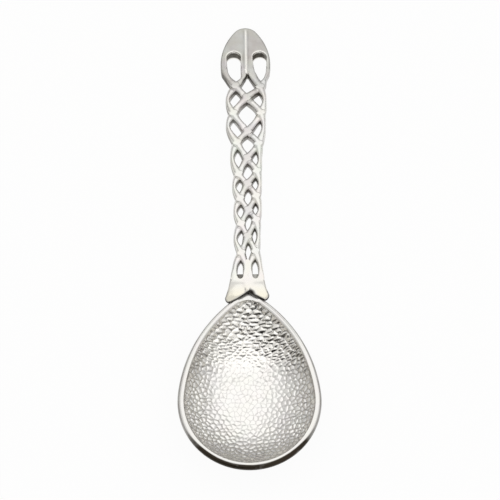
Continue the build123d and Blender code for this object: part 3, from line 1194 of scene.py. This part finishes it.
    def strand(self, name: str, route: StrandRoute) -> bpy.types.Object:
        """Carries a rounded section along a strand's route.

        The section is a superellipse, |x/a|^n + |y/b|^n = 1, with a half of the strand's width
        and b half of its height. It stands square to the strand on the arched handle, is squarer
        below and at the roots, and takes on the head's crown by the head.

        Args:
            name: Name of the strand.
            route: Its route.

        Returns:
            The strand.
        """
        run = self.arch.run
        half = self.arch.thickness / 2.0
        along = np.linspace(-self.root_overlap, run + self.root_overlap, self.stations)
        knots = np.array(route.along[::-1])
        across, lean = smooth_line(knots, np.array(route.across[::-1]), along)
        upper, lower = self.faces_of(route, along)
        turn = 2.0 * math.pi * np.arange(self.sides) / self.sides
        at_root = smooth_step(np.minimum(along, run - along), self.root_blend, 0.0)[:, None]
        square = np.where(np.sin(turn) < 0.0, self.lower_squareness, self.squareness)
        side, rise = superellipse(turn, square + (self.root_squareness - square) * at_root)
        out = self.widths(route, knots, along)[:, None] / 2.0 * side
        longer = np.hypot(1.0, lean)[:, None]
        x = across[:, None] + out / longer
        height = ((upper + lower) / 2.0)[:, None] + ((upper - lower) / 2.0)[:, None] * rise
        crown = self.head_crown * (x / self.head_half) ** 2 * smooth_step(along, *self.crown_run)[:, None]
        height *= 1.0 - crown / half
        points = self.arch.place(x, along[:, None] - out * lean[:, None] / longer, height)
        shell = Shell()
        shell.add_tube(points, self.patina_and_shading(route, along, across, side, half - height))
        return shell.to_piece(f"strand_{name}_cast", f"strand_{name}", crease=70.0)

    def build(self) -> list[bpy.types.Object]:
        """Makes the four strands, from left to right at the head."""
        return [self.strand(name, route) for name, route in zip(self.names, self.routes())]


@dataclass
class Plate:
    """Face of a plate that is triangulated inside its outline, with the forms of its edge and its wall."""

    outline: np.ndarray
    spacing: float
    insets: tuple[float, ...]
    extra: np.ndarray = field(default_factory=lambda: np.zeros((0, 2)))
    kept_inset: float = 0.97

    def face(self) -> tuple[np.ndarray, np.ndarray, np.ndarray]:
        """Triangulates the outline.

        The points are the outline, its copies moved inwards along its normals where they stay
        that far from the rest of it, a honeycomb inside those, and the extra points. A
        constrained Delaunay triangulation joins them.

        Returns:
            Points, triangles, and the outline's point numbers.
        """
        count = len(self.outline)
        tangent = np.roll(self.outline, -1, axis=0) - np.roll(self.outline, 1, axis=0)
        tangent /= np.linalg.norm(tangent, axis=1, keepdims=True)
        inward = np.stack([-tangent[:, 1], tangent[:, 0]], axis=1)
        rings = np.concatenate([self.outline + inset * inward for inset in self.insets])
        wanted = np.repeat(self.insets, count)
        rings = rings[depth_inside(rings, self.outline) > self.kept_inset * wanted]
        low, high = self.outline.min(axis=0), self.outline.max(axis=0)
        along = np.arange(low[1], high[1], self.spacing * HONEYCOMB_ROW)
        rows, columns = np.meshgrid(along, np.arange(low[0], high[0], self.spacing), indexing="ij")
        columns = columns + self.spacing / 2.0 * (np.arange(len(rows)) % 2)[:, None]
        inner = np.stack([columns.ravel(), rows.ravel()], axis=1)
        inner = inner[depth_inside(inner, self.outline) > self.insets[-1] + self.spacing / 2.0]
        if len(self.extra):
            spread = np.linalg.norm(inner[:, None] - self.extra[None], axis=2).min(axis=1)
            inner = inner[spread > self.spacing / 2.0]
        points = np.concatenate([self.outline, rings, inner, self.extra])
        ring = np.arange(count)
        border = np.stack([ring, np.roll(ring, -1)], axis=1)
        only_inside = 1
        made, _, triangles, sources, _, _ = delaunay_2d_cdt(
            [Vector(point) for point in points.tolist()], border.tolist(), [], only_inside, TINY,
        )
        number = np.zeros(len(points), int)
        number[[source[0] for source in sources]] = np.arange(len(made))
        return np.array(made), np.array(triangles), number[:count]

    @staticmethod
    def rounded(depth: np.ndarray, radius: float) -> np.ndarray:
        """Drop of a quarter-round edge at a distance from it: r - sqrt(r^2 - (r - d)^2)."""
        left = np.clip(radius - depth, 0.0, radius)
        return radius - np.sqrt(radius**2 - left**2)

    @staticmethod
    def wall(upper: np.ndarray, lower: np.ndarray, rows: int = 4) -> np.ndarray:
        """Rows of values evenly spaced between two borders, without the borders themselves."""
        return np.linspace(upper, lower, rows + 2)[1:-1]


@dataclass
class Head:
    """Head: an oval plate with a flattened tip, two eyes that open to the plait, and a thin ridge."""

    arch: Arch
    # Outline
    tip_half: float = 2.5
    tip_crown: float = 1.05
    edge_radius: float = 15.9
    widest: float = 2.2
    half_width: float = 6.3
    eye_middles: Pair = (-2.97, 3.6)
    eye_widths: Pair = (3.5, 3.45)
    eye_leans: tuple[Pair, ...] = ((0.25, 0.0), (0.4, -0.15))
    eye_top: float = 6.0
    tongue: tuple[Pair, ...] = ((-0.3, 0.0), (0.35, -1.2), (1.0, 0.0))
    arc_points: int = 60
    # Faces, edges and the eyes' slanted tops
    spacing: float = 0.5
    edge_round: float = 0.3
    edge_rings: tuple[float, ...] = (0.08, 0.25, 0.5, 0.8, 1.2)
    crown: float = 0.3
    root_run: float = 1.5
    eye_slant: float = 0.6
    slant_rise: Pair = (2.0, 5.5)
    slant_fall: Pair = (10.0, 6.5)
    # Ridge and its grooves
    ridge_middle: float = 0.15
    ridge_half: float = 0.21
    ridge_height: float = 0.09
    ridge_ends: Pair = (-1.3, 12.9)
    ridge_ease: Pair = (1.2, 0.6)
    ridge_lines: tuple[float, ...] = (0.09, 0.18, 0.28, 0.4, 0.55, 0.7, 0.9)
    ridge_rows: int = 52
    ridge_margin: float = 0.3
    ridge_clear: float = 0.05
    groove_offset: float = 0.55
    groove_depth: float = 0.01
    # Painted shade on the face and the walls, patina in the grooves, darker edges, and painted highlights on
    # the ridge and on the edges by the eyes
    face_painted_shade: float = 0.38
    groove_patina: float = 0.12
    root_fade: float = 0.5
    side_darkening: float = 0.25
    edge_run: Pair = (0.4, 0.1)
    eye_highlight: float = 0.8
    eye_side: Pair = (0.3, 0.7)
    eye_above: Pair = (7.5, 6.8)
    eye_below: Pair = (0.3, 2.5)

    def edge_at(self, along: np.ndarray | float) -> np.ndarray:
        """Half width of the plate at a distance from its root, on its side arc."""
        reach = np.sqrt(self.edge_radius**2 - (along - self.widest) ** 2)
        return self.half_width - self.edge_radius + reach

    def outline(self) -> np.ndarray:
        """Outline of the plate, round by the right edge, the tip, the left edge and the eyes.

        Returns:
            Points across and along the head, from its root.
        """
        length = self.arch.head_length
        tip_y = length - self.tip_crown
        root = (self.edge_at(0.0), 0.0)
        middle = (self.edge_at(length / 2.0), length / 2.0)
        tip_right, tip_left = (self.tip_half, tip_y), (-self.tip_half, tip_y)
        right = arc_through(root, middle, tip_right, self.arc_points)
        tip = arc_through(tip_right, (0.0, length), tip_left, self.arc_points // 4)
        left = arc_through(tip_left, (-middle[0], middle[1]), (-root[0], 0.0), self.arc_points)
        eyes = [self.eye(*sizes) for sizes in zip(self.eye_middles, self.eye_widths, self.eye_leans)]
        tongue = arc_through(*self.tongue, self.arc_points // 3)
        return np.concatenate([right, tip, left, [[-root[0], 0.0]], eyes[0], tongue, eyes[1]])

    def eye(self, middle: float, width: float, leans: Pair) -> np.ndarray:
        """Outline of one eye from the root up, over a half circle and down again.

        Args:
            middle: Place of the eye across the head.
            width: Its width.
            leans: How far its left and right wall move to the right on the way down to the root.

        Returns:
            Points across and along the head.
        """
        radius = width / 2.0
        turn = np.linspace(math.pi, 0.0, self.arc_points // 2 + 1)
        rise = np.linspace(0.0, self.eye_top - radius, self.arc_points // 3)[:-1]
        lean = (1.0 - rise / (self.eye_top - radius)) ** 2
        return np.concatenate([
            np.stack([middle - radius + leans[0] * lean, rise], axis=1),
            np.stack([middle + radius * np.cos(turn), self.eye_top - radius + radius * np.sin(turn)], axis=1),
            np.stack([middle + radius + leans[1] * lean, rise], axis=1)[::-1],
        ])

    def ridge_points(self, outline: np.ndarray, clear: float) -> np.ndarray:
        """Points on lines along the ridge and its grooves.

        Args:
            outline: Outline of the plate.
            clear: Distance that they keep from it.

        Returns:
            Points across and along the head.
        """
        lines = np.array(self.ridge_lines)
        across = np.concatenate([-lines[::-1], [0.0], lines]) + self.ridge_middle
        end = self.arch.head_length - self.edge_round - self.ridge_margin
        along = np.linspace(self.ridge_ends[0], end, self.ridge_rows)
        points = np.stack([axis.ravel() for axis in np.meshgrid(across, along)], axis=1)
        return points[depth_inside(points, outline) > clear]

    def build(self) -> bpy.types.Object:
        """Raises the plate: crowned across, rounded at its edges, with the ridge between two grooves.

        The ridge and its grooves are bell curves across the head. At the root, where the strands
        go on, the edge isn't rounded. The tops of the eyes slant towards the root on the way down.

        Returns:
            The head.
        """
        outline = self.outline()
        insets = tuple(self.edge_round * share for share in self.edge_rings)
        ridge = self.ridge_points(outline, insets[-1] + self.ridge_clear)
        flat, triangles, border = Plate(outline, self.spacing, insets, ridge).face()
        u, v = flat[:, 0], flat[:, 1]
        low, high = self.ridge_ends
        rise, fall = self.ridge_ease
        run = smooth_step(v, low, low + rise) * smooth_step(v, high + fall, high - fall)
        on_ridge = bell(u - self.ridge_middle, self.ridge_half)
        in_groove = bell(np.abs(u - self.ridge_middle) - self.groove_offset, self.ridge_half)
        past_root = (outline[:, 1] < TINY) * self.root_run
        longer = outline - np.stack([np.zeros(len(outline)), past_root], axis=1)
        depth = np.maximum(depth_inside(flat, longer), 0.0)
        drop = Plate.rounded(depth, self.edge_round) + self.crown * (u / self.half_width) ** 2
        bottom = drop - self.arch.thickness / 2.0
        top = run * (self.ridge_height * on_ridge - self.groove_depth * in_groove) - bottom
        slant = smooth_step(v, *self.slant_rise) * smooth_step(v, *self.slant_fall)
        lower_v = v - self.eye_slant * slant
        by_eye = smooth_step(self.edge_at(v) - np.abs(u), *self.eye_side)
        by_eye *= smooth_step(v, *self.eye_above) * smooth_step(v, *self.eye_below)
        # The edges are darker, and beside the eyes they are painted bright, a painted highlight.
        edge_shading = smooth_step(depth, *self.edge_run) * between((self.side_darkening, -self.eye_highlight), by_eye)
        # The ridge is painted bright, a painted highlight, and the grooves take patina.
        marked = run * (self.groove_patina * in_groove - (1.0 + self.face_painted_shade) * on_ridge)
        upper = self.arch.place(u, self.arch.run + v, top)
        lower = self.arch.place(u, self.arch.run + lower_v, bottom)
        wall = self.arch.place(
            Plate.wall(u[border], u[border]),
            self.arch.run + Plate.wall(v[border], lower_v[border]),
            Plate.wall(top[border], bottom[border]),
        )
        # The walls take painted shade, darkest away from the root.
        off_root = smooth_step(np.abs(v[border]), 0.0, self.root_fade)
        shell = Shell()
        # The whole face takes a painted shade.
        shell.add(upper, self.face_painted_shade + marked + edge_shading, triangles)
        below = shell.add(lower, edge_shading, triangles)
        shell.add_wall(border, below, wall, between((self.face_painted_shade, 1.0), off_root))
        return shell.to_piece("head_cast", "head", crease=60.0)


@dataclass
class Collar:
    """Collar: a crowned cap with two lobes over the neck of the rim, and a heel behind it."""

    arch: Arch
    # Outline: half widths with distances below the joint, then the windows and the tongue
    half_width: float = 4.15
    side: Pair = (4.7, 2.0)
    lobe_widest: Pair = (5.38, 3.85)
    lobe_corner: Pair = (5.15, 4.75)
    lobe_tip: Pair = (4.25, 5.3)
    lobe_edge: Pair = (2.2, 4.4)
    notch_drop: float = 3.1
    left_share: float = 1.04
    right_share: float = 0.94
    lobe_lean: float = 0.06
    lean_run: Pair = (1.0, 4.0)
    window_middles: Pair = (-1.87, 1.8)
    window_half: float = 0.72
    window_rise: float = 0.8
    corner_run: float = 0.6
    tongue: tuple[float, float, float] = (-0.04, 0.5, 4.6)
    arc_points: int = 36
    # Cap
    rim_level: float = 9.0
    spacing: float = 0.14
    edge_round: float = 0.55
    edge_rings: tuple[float, ...] = (0.06, 0.18, 0.36, 0.6, 0.85, 1.15)
    joint_spare: float = 3.0
    crown_radius: float = 20.0
    crown_run: float = 3.0
    lobe_drop: float = 1.1
    drop_power: float = 1.5
    lobe_middle: float = 2.7
    lobe_half: float = 1.5
    lobe_swell: float = 0.15
    swell_from: float = 1.0
    dents: Pair = (-0.75, 0.55)
    dent_half: float = 0.14
    dent_depth: float = 0.2
    dent_run: Pair = (2.2, 3.3)
    dent_ease: float = 0.3
    dip_depth: float = 0.2
    dip_place: float = 2.0
    dip_half: float = 1.4
    dip_side: Pair = (0.3, 1.6)
    tongue_sink: float = 0.05
    sink_run: float = 1.0
    # Painted shade at the edge, right of the notch, underneath and on the wall; patina in the dents; the cap
    # lightened lower down, partly rubbed and partly a painted highlight
    edge_run: Pair = (0.35, 0.1)
    edge_shading: Pair = (0.3, 1.0)
    edge_below: Pair = (2.2, 3.0)
    dent_patina: float = 0.7
    shade_side: Pair = (2.8, 1.0)
    shade_below: Pair = (2.0, 2.8)
    shade_depth: Pair = (1.8, 0.4)
    rub_and_highlight: float = 0.9
    lighten_below: Pair = (0.8, 4.0)
    under_painted_shade: float = 0.9
    wall_painted_shade: float = 1.2
    # Heel, as places along the spoon with lower and upper heights
    heel_line: tuple[tuple[float, float, float], ...] = (
        (24.7, 5.75, 6.9),
        (26.6, 5.8, 7.4),
        (28.2, 6.1, 8.6),
        (29.4, 6.75, 9.0),
        (30.2, 7.1, 8.5),
        (31.6, 7.35, 8.43),
        (32.4, 7.7, 8.4),
    )
    heel_half_width: float = 3.0
    heel_inset: float = 0.8
    heel_widening: Pair = (28.6, 30.2)
    heel_squareness: float = 3.0
    heel_points: int = 40
    heel_painted_shade: float = 0.2
    web_painted_shade: Pair = (0.64, 0.4)
    web_run: Pair = (30.0, 31.0)

    def outline(self) -> np.ndarray:
        """Lobed outline of the cap with its two windows and the tongue between the middle strands.

        Returns:
            Points in the part's plane, in order against the clock.
        """
        def below(point: Pair) -> Pair:
            """Point at a half width and a distance below the joint."""
            return point[0], self.arch.joint_y - point[1]

        count = self.arc_points
        joint_y = self.arch.joint_y
        notch = below((0.0, self.notch_drop))
        right = np.concatenate([
            arc_through((self.half_width, joint_y), below(self.side), below(self.lobe_widest), count),
            arc_through(below(self.lobe_widest), below(self.lobe_corner), below(self.lobe_tip), count // 2),
            arc_through(below(self.lobe_tip), below(self.lobe_edge), notch, count),
            [notch],
        ])
        left = right[-2::-1] * np.array([-self.left_share, 1.0])
        right = right * np.array([self.right_share, 1.0])
        for half in (left, right):
            half[:, 1] += self.lobe_lean * half[:, 0] * smooth_step(joint_y - half[:, 1], *self.lean_run)
        low, high = -self.half_width * self.left_share, self.half_width * self.right_share
        joint_x = np.linspace(low, high, 3 * count)[1:-1]
        rise = smooth_step(np.minimum(joint_x - low, high - joint_x), 0.0, self.corner_run)
        for window in self.window_middles:
            share = np.clip((joint_x - window) / self.window_half, -1.0, 1.0)
            rise *= 1.0 - np.sqrt(1.0 - share**2)
        joint = np.stack([joint_x, joint_y + self.window_rise * rise], axis=1)
        middle, half, reach = self.tongue
        turn = np.linspace(math.pi, 0.0, count // 2)
        tongue = np.stack([middle + half * np.cos(turn), joint_y + reach + half * np.sin(turn)], axis=1)
        before, after = joint_x < middle - half, joint_x > middle + half
        return np.concatenate([right, left, joint[before], tongue, joint[after]])[::-1]

    def drop(self, x: np.ndarray, y: np.ndarray, dent: np.ndarray) -> np.ndarray:
        """How far the cap lies below its highest level, apart from its rounded edge.

        It is crowned across as a cylinder and falls to the lobes with a power of the distance
        below the joint. The lobes swell, and the hollow above them dips, by bell curves. Past the
        joint the tongue sinks a little and follows the arch.

        Args:
            x: Places across the cap.
            y: Places along it.
            dent: Share of a dent there.

        Returns:
            One distance a place.
        """
        below = np.maximum(self.arch.joint_y - y, 0.0)
        beyond = np.maximum(y - self.arch.joint_y, 0.0)
        crown = self.crown_radius - np.sqrt(self.crown_radius**2 - x**2)
        swell = self.lobe_swell * bell(np.abs(x) - self.lobe_middle, self.lobe_half)
        dip = bell(below - self.dip_place, self.dip_half) * smooth_step(below, 0.0, self.dip_half)
        fall = self.lobe_drop * (below / self.lobe_tip[1]) ** self.drop_power
        fall += crown * smooth_step(below, 0.0, self.crown_run)
        fall += self.dent_depth * dent - swell * smooth_step(below, self.swell_from, self.crown_run)
        fall += self.dip_depth * dip * smooth_step(np.abs(x), *self.dip_side)
        fall += self.tongue_sink * smooth_step(beyond, 0.0, self.sink_run)
        return fall + beyond**2 * self.arch.slope() / self.arch.run / 2.0

    def patina_and_shading(self, x: np.ndarray, below: np.ndarray, depth: np.ndarray, dent: np.ndarray) -> np.ndarray:
        """Share of patina and painted shading on the cap: painted shade at its edge and right of the notch,
        patina in the dents, and elsewhere lighter further below the joint, partly rubbed and partly a painted
        highlight.

        Args:
            x: Places across the cap.
            below: Distances below the joint.
            depth: Distances in from the edge.
            dent: Share of a dent there.

        Returns:
            One share a place.
        """
        # Painted shade along the edge, darkest on the lobes' lower edges.
        edge = smooth_step(depth, *self.edge_run)
        edge *= between(self.edge_shading, smooth_step(below, *self.edge_below))
        # Painted shade right of the notch.
        shade = smooth_step(x, *self.shade_side) * (x > 0.0) * smooth_step(below, *self.shade_below)
        shade *= smooth_step(depth, *self.shade_depth)
        dark = np.maximum(np.maximum(self.dent_patina * dent, edge), shade)
        # Elsewhere the cap is lightened further below the joint, partly rubbed and partly a painted
        # highlight.
        return dark - self.rub_and_highlight * smooth_step(below, *self.lighten_below) * (1.0 - dark)

    def build(self) -> bpy.types.Object:
        """Raises the cap to a crown with a rounded edge and two dents, and adds the heel under it.

        Returns:
            The collar.
        """
        outline = self.outline()
        insets = tuple(self.edge_round * share for share in self.edge_rings)
        flat, triangles, border = Plate(outline, self.spacing, insets).face()
        x, y = flat[:, 0], flat[:, 1]
        at_joint = outline[:, 1:] >= self.arch.joint_y - TINY
        longer = np.where(at_joint, outline + [0.0, self.joint_spare], outline)
        depth = np.where(y > self.arch.joint_y, self.edge_round, depth_inside(flat, longer))
        below = np.maximum(self.arch.joint_y - y, 0.0)
        start, end = self.dent_run
        dent = bell(x[:, None] - np.array(self.dents), self.dent_half).sum(axis=1)
        dent *= smooth_step(below, start, start + self.dent_ease)
        dent *= smooth_step(below, end + self.dent_ease, end)
        top = self.arch.neck_level + self.arch.thickness / 2.0 - self.drop(x, y, dent)
        rounded = Plate.rounded(np.maximum(depth, 0.0), self.edge_round)
        upper = np.stack([x, y, top - rounded], axis=1)
        lower = np.stack([x, y, np.full(len(x), self.rim_level)], axis=1)
        shell = Shell()
        shell.add(upper, self.patina_and_shading(x, below, depth, dent), triangles)
        # Painted shade on the underside and the wall.
        under = shell.add(lower, self.under_painted_shade, triangles)
        shell.add_wall(border, under, Plate.wall(upper[border], lower[border]), self.wall_painted_shade)
        self.add_heel(shell)
        return shell.to_piece("collar_smooth", "collar", crease=60.0)

    def add_heel(self, shell: Shell) -> None:
        """Adds the heel: rounded sections along the midline, from the bowl's back up past the joint.

        Each section is a superellipse between the heel's lower and upper line, with a light painted
        shade all over. Past the joint the heel is a dark web under the first openings of the plait, a
        dark sheet that stands for the shade in their pockets.

        Args:
            shell: Shell of the collar, which takes the heel.
        """
        line = np.array(self.heel_line)
        y = np.linspace(line[0, 0], line[-1, 0], self.heel_points)
        low, _ = smooth_line(line[:, 0], line[:, 1], y)
        high, _ = smooth_line(line[:, 0], line[:, 2], y)
        widths = (self.heel_half_width, self.half_width - self.heel_inset)
        wide = between(widths, smooth_step(y, *self.heel_widening))[:, None]
        turn = 2.0 * math.pi * np.arange(self.heel_points) / self.heel_points
        side, rise = superellipse(turn, self.heel_squareness)
        height = ((high + low) / 2.0)[:, None] + ((high - low) / 2.0)[:, None] * rise
        points = np.stack(np.broadcast_arrays(wide * side, y[:, None], height), axis=-1)
        # Painted shade: the web past the joint is darkened, more on its left side, standing for the shade in
        # the windows' pockets.
        web = smooth_step(y, *self.web_run)[:, None] * (rise > 0.0) * np.where(side < 0.0, *self.web_painted_shade)
        shell.add_tube(points, self.heel_painted_shade + web)


@dataclass
class Studio:
    """Pale floor, soft light and the camera."""

    # Camera
    elevation: float = 67.0
    distance: float = 600.0
    target: tuple[float, float, float] = (0.0, 40.2, 5.0)
    focal_px: float = 2452.0
    target_px: Pair = (247.7, 250.0)
    image_px: float = 500.0
    roll: float = -0.7
    sensor_mm: float = 36.0
    clip_start: float = 10.0
    # Floor
    floor_size: float = 6000.0
    floor_card: str = "#efeeec"
    floor_glow: float = 0.94
    # Room: where its brightness changes, and what it is there
    opening: tuple[float, float, float] = (-0.3, -0.93, 0.2)
    opening_span: Pair = (0.84, 0.93)
    opening_level: float = 0.04
    back_span: Pair = (-0.7, 0.5)
    back_level: float = 0.42
    dome_span: Pair = (0.1, 0.5)
    dome_level: float = 1.1
    left_span: Pair = (-0.95, -0.4)
    left_level: float = 0.85
    # Softbox
    softbox_place: tuple[float, float, float] = (90.0, 230.0, 625.0)
    softbox_size: Pair = (900.0, 860.0)
    softbox_watts: float = 0.85

    def build_camera(self) -> None:
        """Places the camera in front of the bowl and above it, looking along the spoon."""
        lens = bpy.data.cameras.new("camera")
        lens.sensor_width = self.sensor_mm
        lens.lens = self.sensor_mm * self.focal_px / self.image_px
        lens.shift_x = (self.image_px / 2.0 - self.target_px[0]) / self.image_px
        lens.shift_y = (self.target_px[1] - self.image_px / 2.0) / self.image_px
        lens.clip_start = self.clip_start * MM
        camera = add_object("camera", lens)
        tilt = Matrix.Rotation(math.radians(90.0 - self.elevation), 4, "X")
        turn = Matrix.Rotation(math.radians(self.roll), 4, "Z")
        back = Matrix.Translation((0.0, 0.0, self.distance * MM))
        camera.matrix_world = Matrix.Translation(Vector(self.target) * MM) @ tilt @ turn @ back
        bpy.context.scene.camera = camera

    def build_floor(self) -> None:
        """Lays the pale floor, which mostly glows where it is seen directly or in a reflection."""
        half = self.floor_size / 2.0 * MM
        corners = [(-half, -half, 0.0), (half, -half, 0.0), (half, half, 0.0), (-half, half, 0.0)]
        mesh = bpy.data.meshes.new("floor")
        mesh.from_pydata(corners, [], [(0, 1, 2, 3)])
        floor = add_object("floor", mesh)
        material = bpy.data.materials.new("white studio card")
        material.use_nodes = True
        tree = material.node_tree
        tree.nodes.clear()
        paths = add_node(tree, "ShaderNodeLightPath")
        seen = add_node(tree, "ShaderNodeMath", {
            0: paths.outputs["Is Camera Ray"], 1: paths.outputs["Is Glossy Ray"],
        }, operation="MAXIMUM")
        through = add_node(tree, "ShaderNodeMath", {
            0: seen.outputs["Value"], 1: paths.outputs["Is Transmission Ray"],
        }, operation="MAXIMUM")
        share = add_node(tree, "ShaderNodeMath", {
            0: through.outputs["Value"], 1: self.floor_glow,
        }, operation="MULTIPLY")
        card = add_node(tree, "ShaderNodeBsdfDiffuse", {"Color": PewterFinish.linear(self.floor_card)})
        glow = add_node(tree, "ShaderNodeEmission", {"Color": WHITE, "Strength": 1.0})
        mix = add_node(tree, "ShaderNodeMixShader", {
            0: share.outputs["Value"], 1: card.outputs["BSDF"], 2: glow.outputs["Emission"],
        })
        add_node(tree, "ShaderNodeOutputMaterial", {"Surface": mix.outputs["Shader"]})
        mesh.materials.append(material)

    def build_world(self) -> None:
        """Fills the room with a bright dome, dimmer low down at the back and at the far left.

        A dark opening at the front left gives the metal something dark to reflect. The camera
        itself sees white.
        """
        world = bpy.data.worlds.new("studio room")
        bpy.context.scene.world = world
        world.use_nodes = True
        tree = world.node_tree
        tree.nodes.clear()
        direction = add_node(tree, "ShaderNodeTexCoord").outputs["Generated"]
        axes = add_node(tree, "ShaderNodeSeparateXYZ", {"Vector": direction})
        towards = add_node(tree, "ShaderNodeVectorMath", {
            0: direction, 1: Vector(self.opening).normalized(),
        }, operation="DOT_PRODUCT")
        front = add_node(tree, "ShaderNodeMapRange", {
            "Value": towards.outputs["Value"], "From Min": self.opening_span[0],
            "From Max": self.opening_span[1], "To Min": 1.0, "To Max": self.opening_level,
        })
        horizon = add_node(tree, "ShaderNodeMapRange", {
            "Value": axes.outputs["Y"], "From Min": self.back_span[0],
            "From Max": self.back_span[1], "To Min": 1.0, "To Max": self.back_level,
        })
        dome = add_node(tree, "ShaderNodeMapRange", {
            "Value": axes.outputs["Z"], "From Min": self.dome_span[0],
            "From Max": self.dome_span[1], "To Min": horizon.outputs["Result"], "To Max": self.dome_level,
        })
        left = add_node(tree, "ShaderNodeMapRange", {
            "Value": axes.outputs["X"], "From Min": self.left_span[0],
            "From Max": self.left_span[1], "To Min": self.left_level, "To Max": 1.0,
        })
        shade = add_node(tree, "ShaderNodeMath", {
            0: front.outputs["Result"], 1: left.outputs["Result"],
        }, operation="MULTIPLY")
        level = add_node(tree, "ShaderNodeMath", {
            0: shade.outputs["Value"], 1: dome.outputs["Result"],
        }, operation="MULTIPLY")
        room = add_node(tree, "ShaderNodeBackground", {"Strength": level.outputs["Value"]})
        white = add_node(tree, "ShaderNodeBackground", {"Color": WHITE, "Strength": 1.0})
        paths = add_node(tree, "ShaderNodeLightPath")
        mix = add_node(tree, "ShaderNodeMixShader", {
            0: paths.outputs["Is Camera Ray"], 1: room.outputs["Background"], 2: white.outputs["Background"],
        })
        add_node(tree, "ShaderNodeOutputWorld", {"Surface": mix.outputs["Shader"]})

    def build_softbox(self) -> None:
        """Hangs a soft rectangular light over the spoon, facing what the camera looks at."""
        lamp = bpy.data.lights.new("overhead softbox", "AREA")
        lamp.shape = "RECTANGLE"
        lamp.size, lamp.size_y = (side * MM for side in self.softbox_size)
        lamp.energy = self.softbox_watts
        light = add_object("overhead softbox", lamp)
        place = Vector(self.softbox_place)
        facing = (Vector(self.target) - place).to_track_quat("-Z", "Y").to_matrix().to_4x4()
        light.matrix_world = Matrix.Translation(place * MM) @ facing

    def build(self) -> None:
        """Sets up the floor, the light and the camera."""
        bpy.context.scene.view_settings.view_transform = "Standard"
        self.build_floor()
        self.build_world()
        self.build_softbox()
        self.build_camera()
        LOG.info("studio: floor, room, softbox and camera")


def dress(pieces: list[bpy.types.Object], finish: PewterFinish) -> None:
    """Gives pieces one finish.

    Args:
        pieces: Pieces that take it.
        finish: The finish.
    """
    material = finish.make()
    for piece in pieces:
        piece.data.materials.append(material)
        LOG.info("%s: %s", piece.name, finish.name)


def main() -> None:
    """Builds the spoon piece by piece, then the studio."""
    logging.basicConfig(level=logging.INFO, format="%(name)s %(message)s")
    pear = Pear()
    arch = Arch()
    bowl = Bowl(pear).build()
    rim = RimBand(pear).build()
    collar = Collar(arch).build()
    strands = Plait(arch).build()
    head = Head(arch).build()
    dress([bowl], PEBBLED)
    dress([rim], POLISHED)
    dress([collar], BURNISHED)
    dress([*strands, head], CAST)
    Studio().build()


if __name__ == "__main__":
    main()
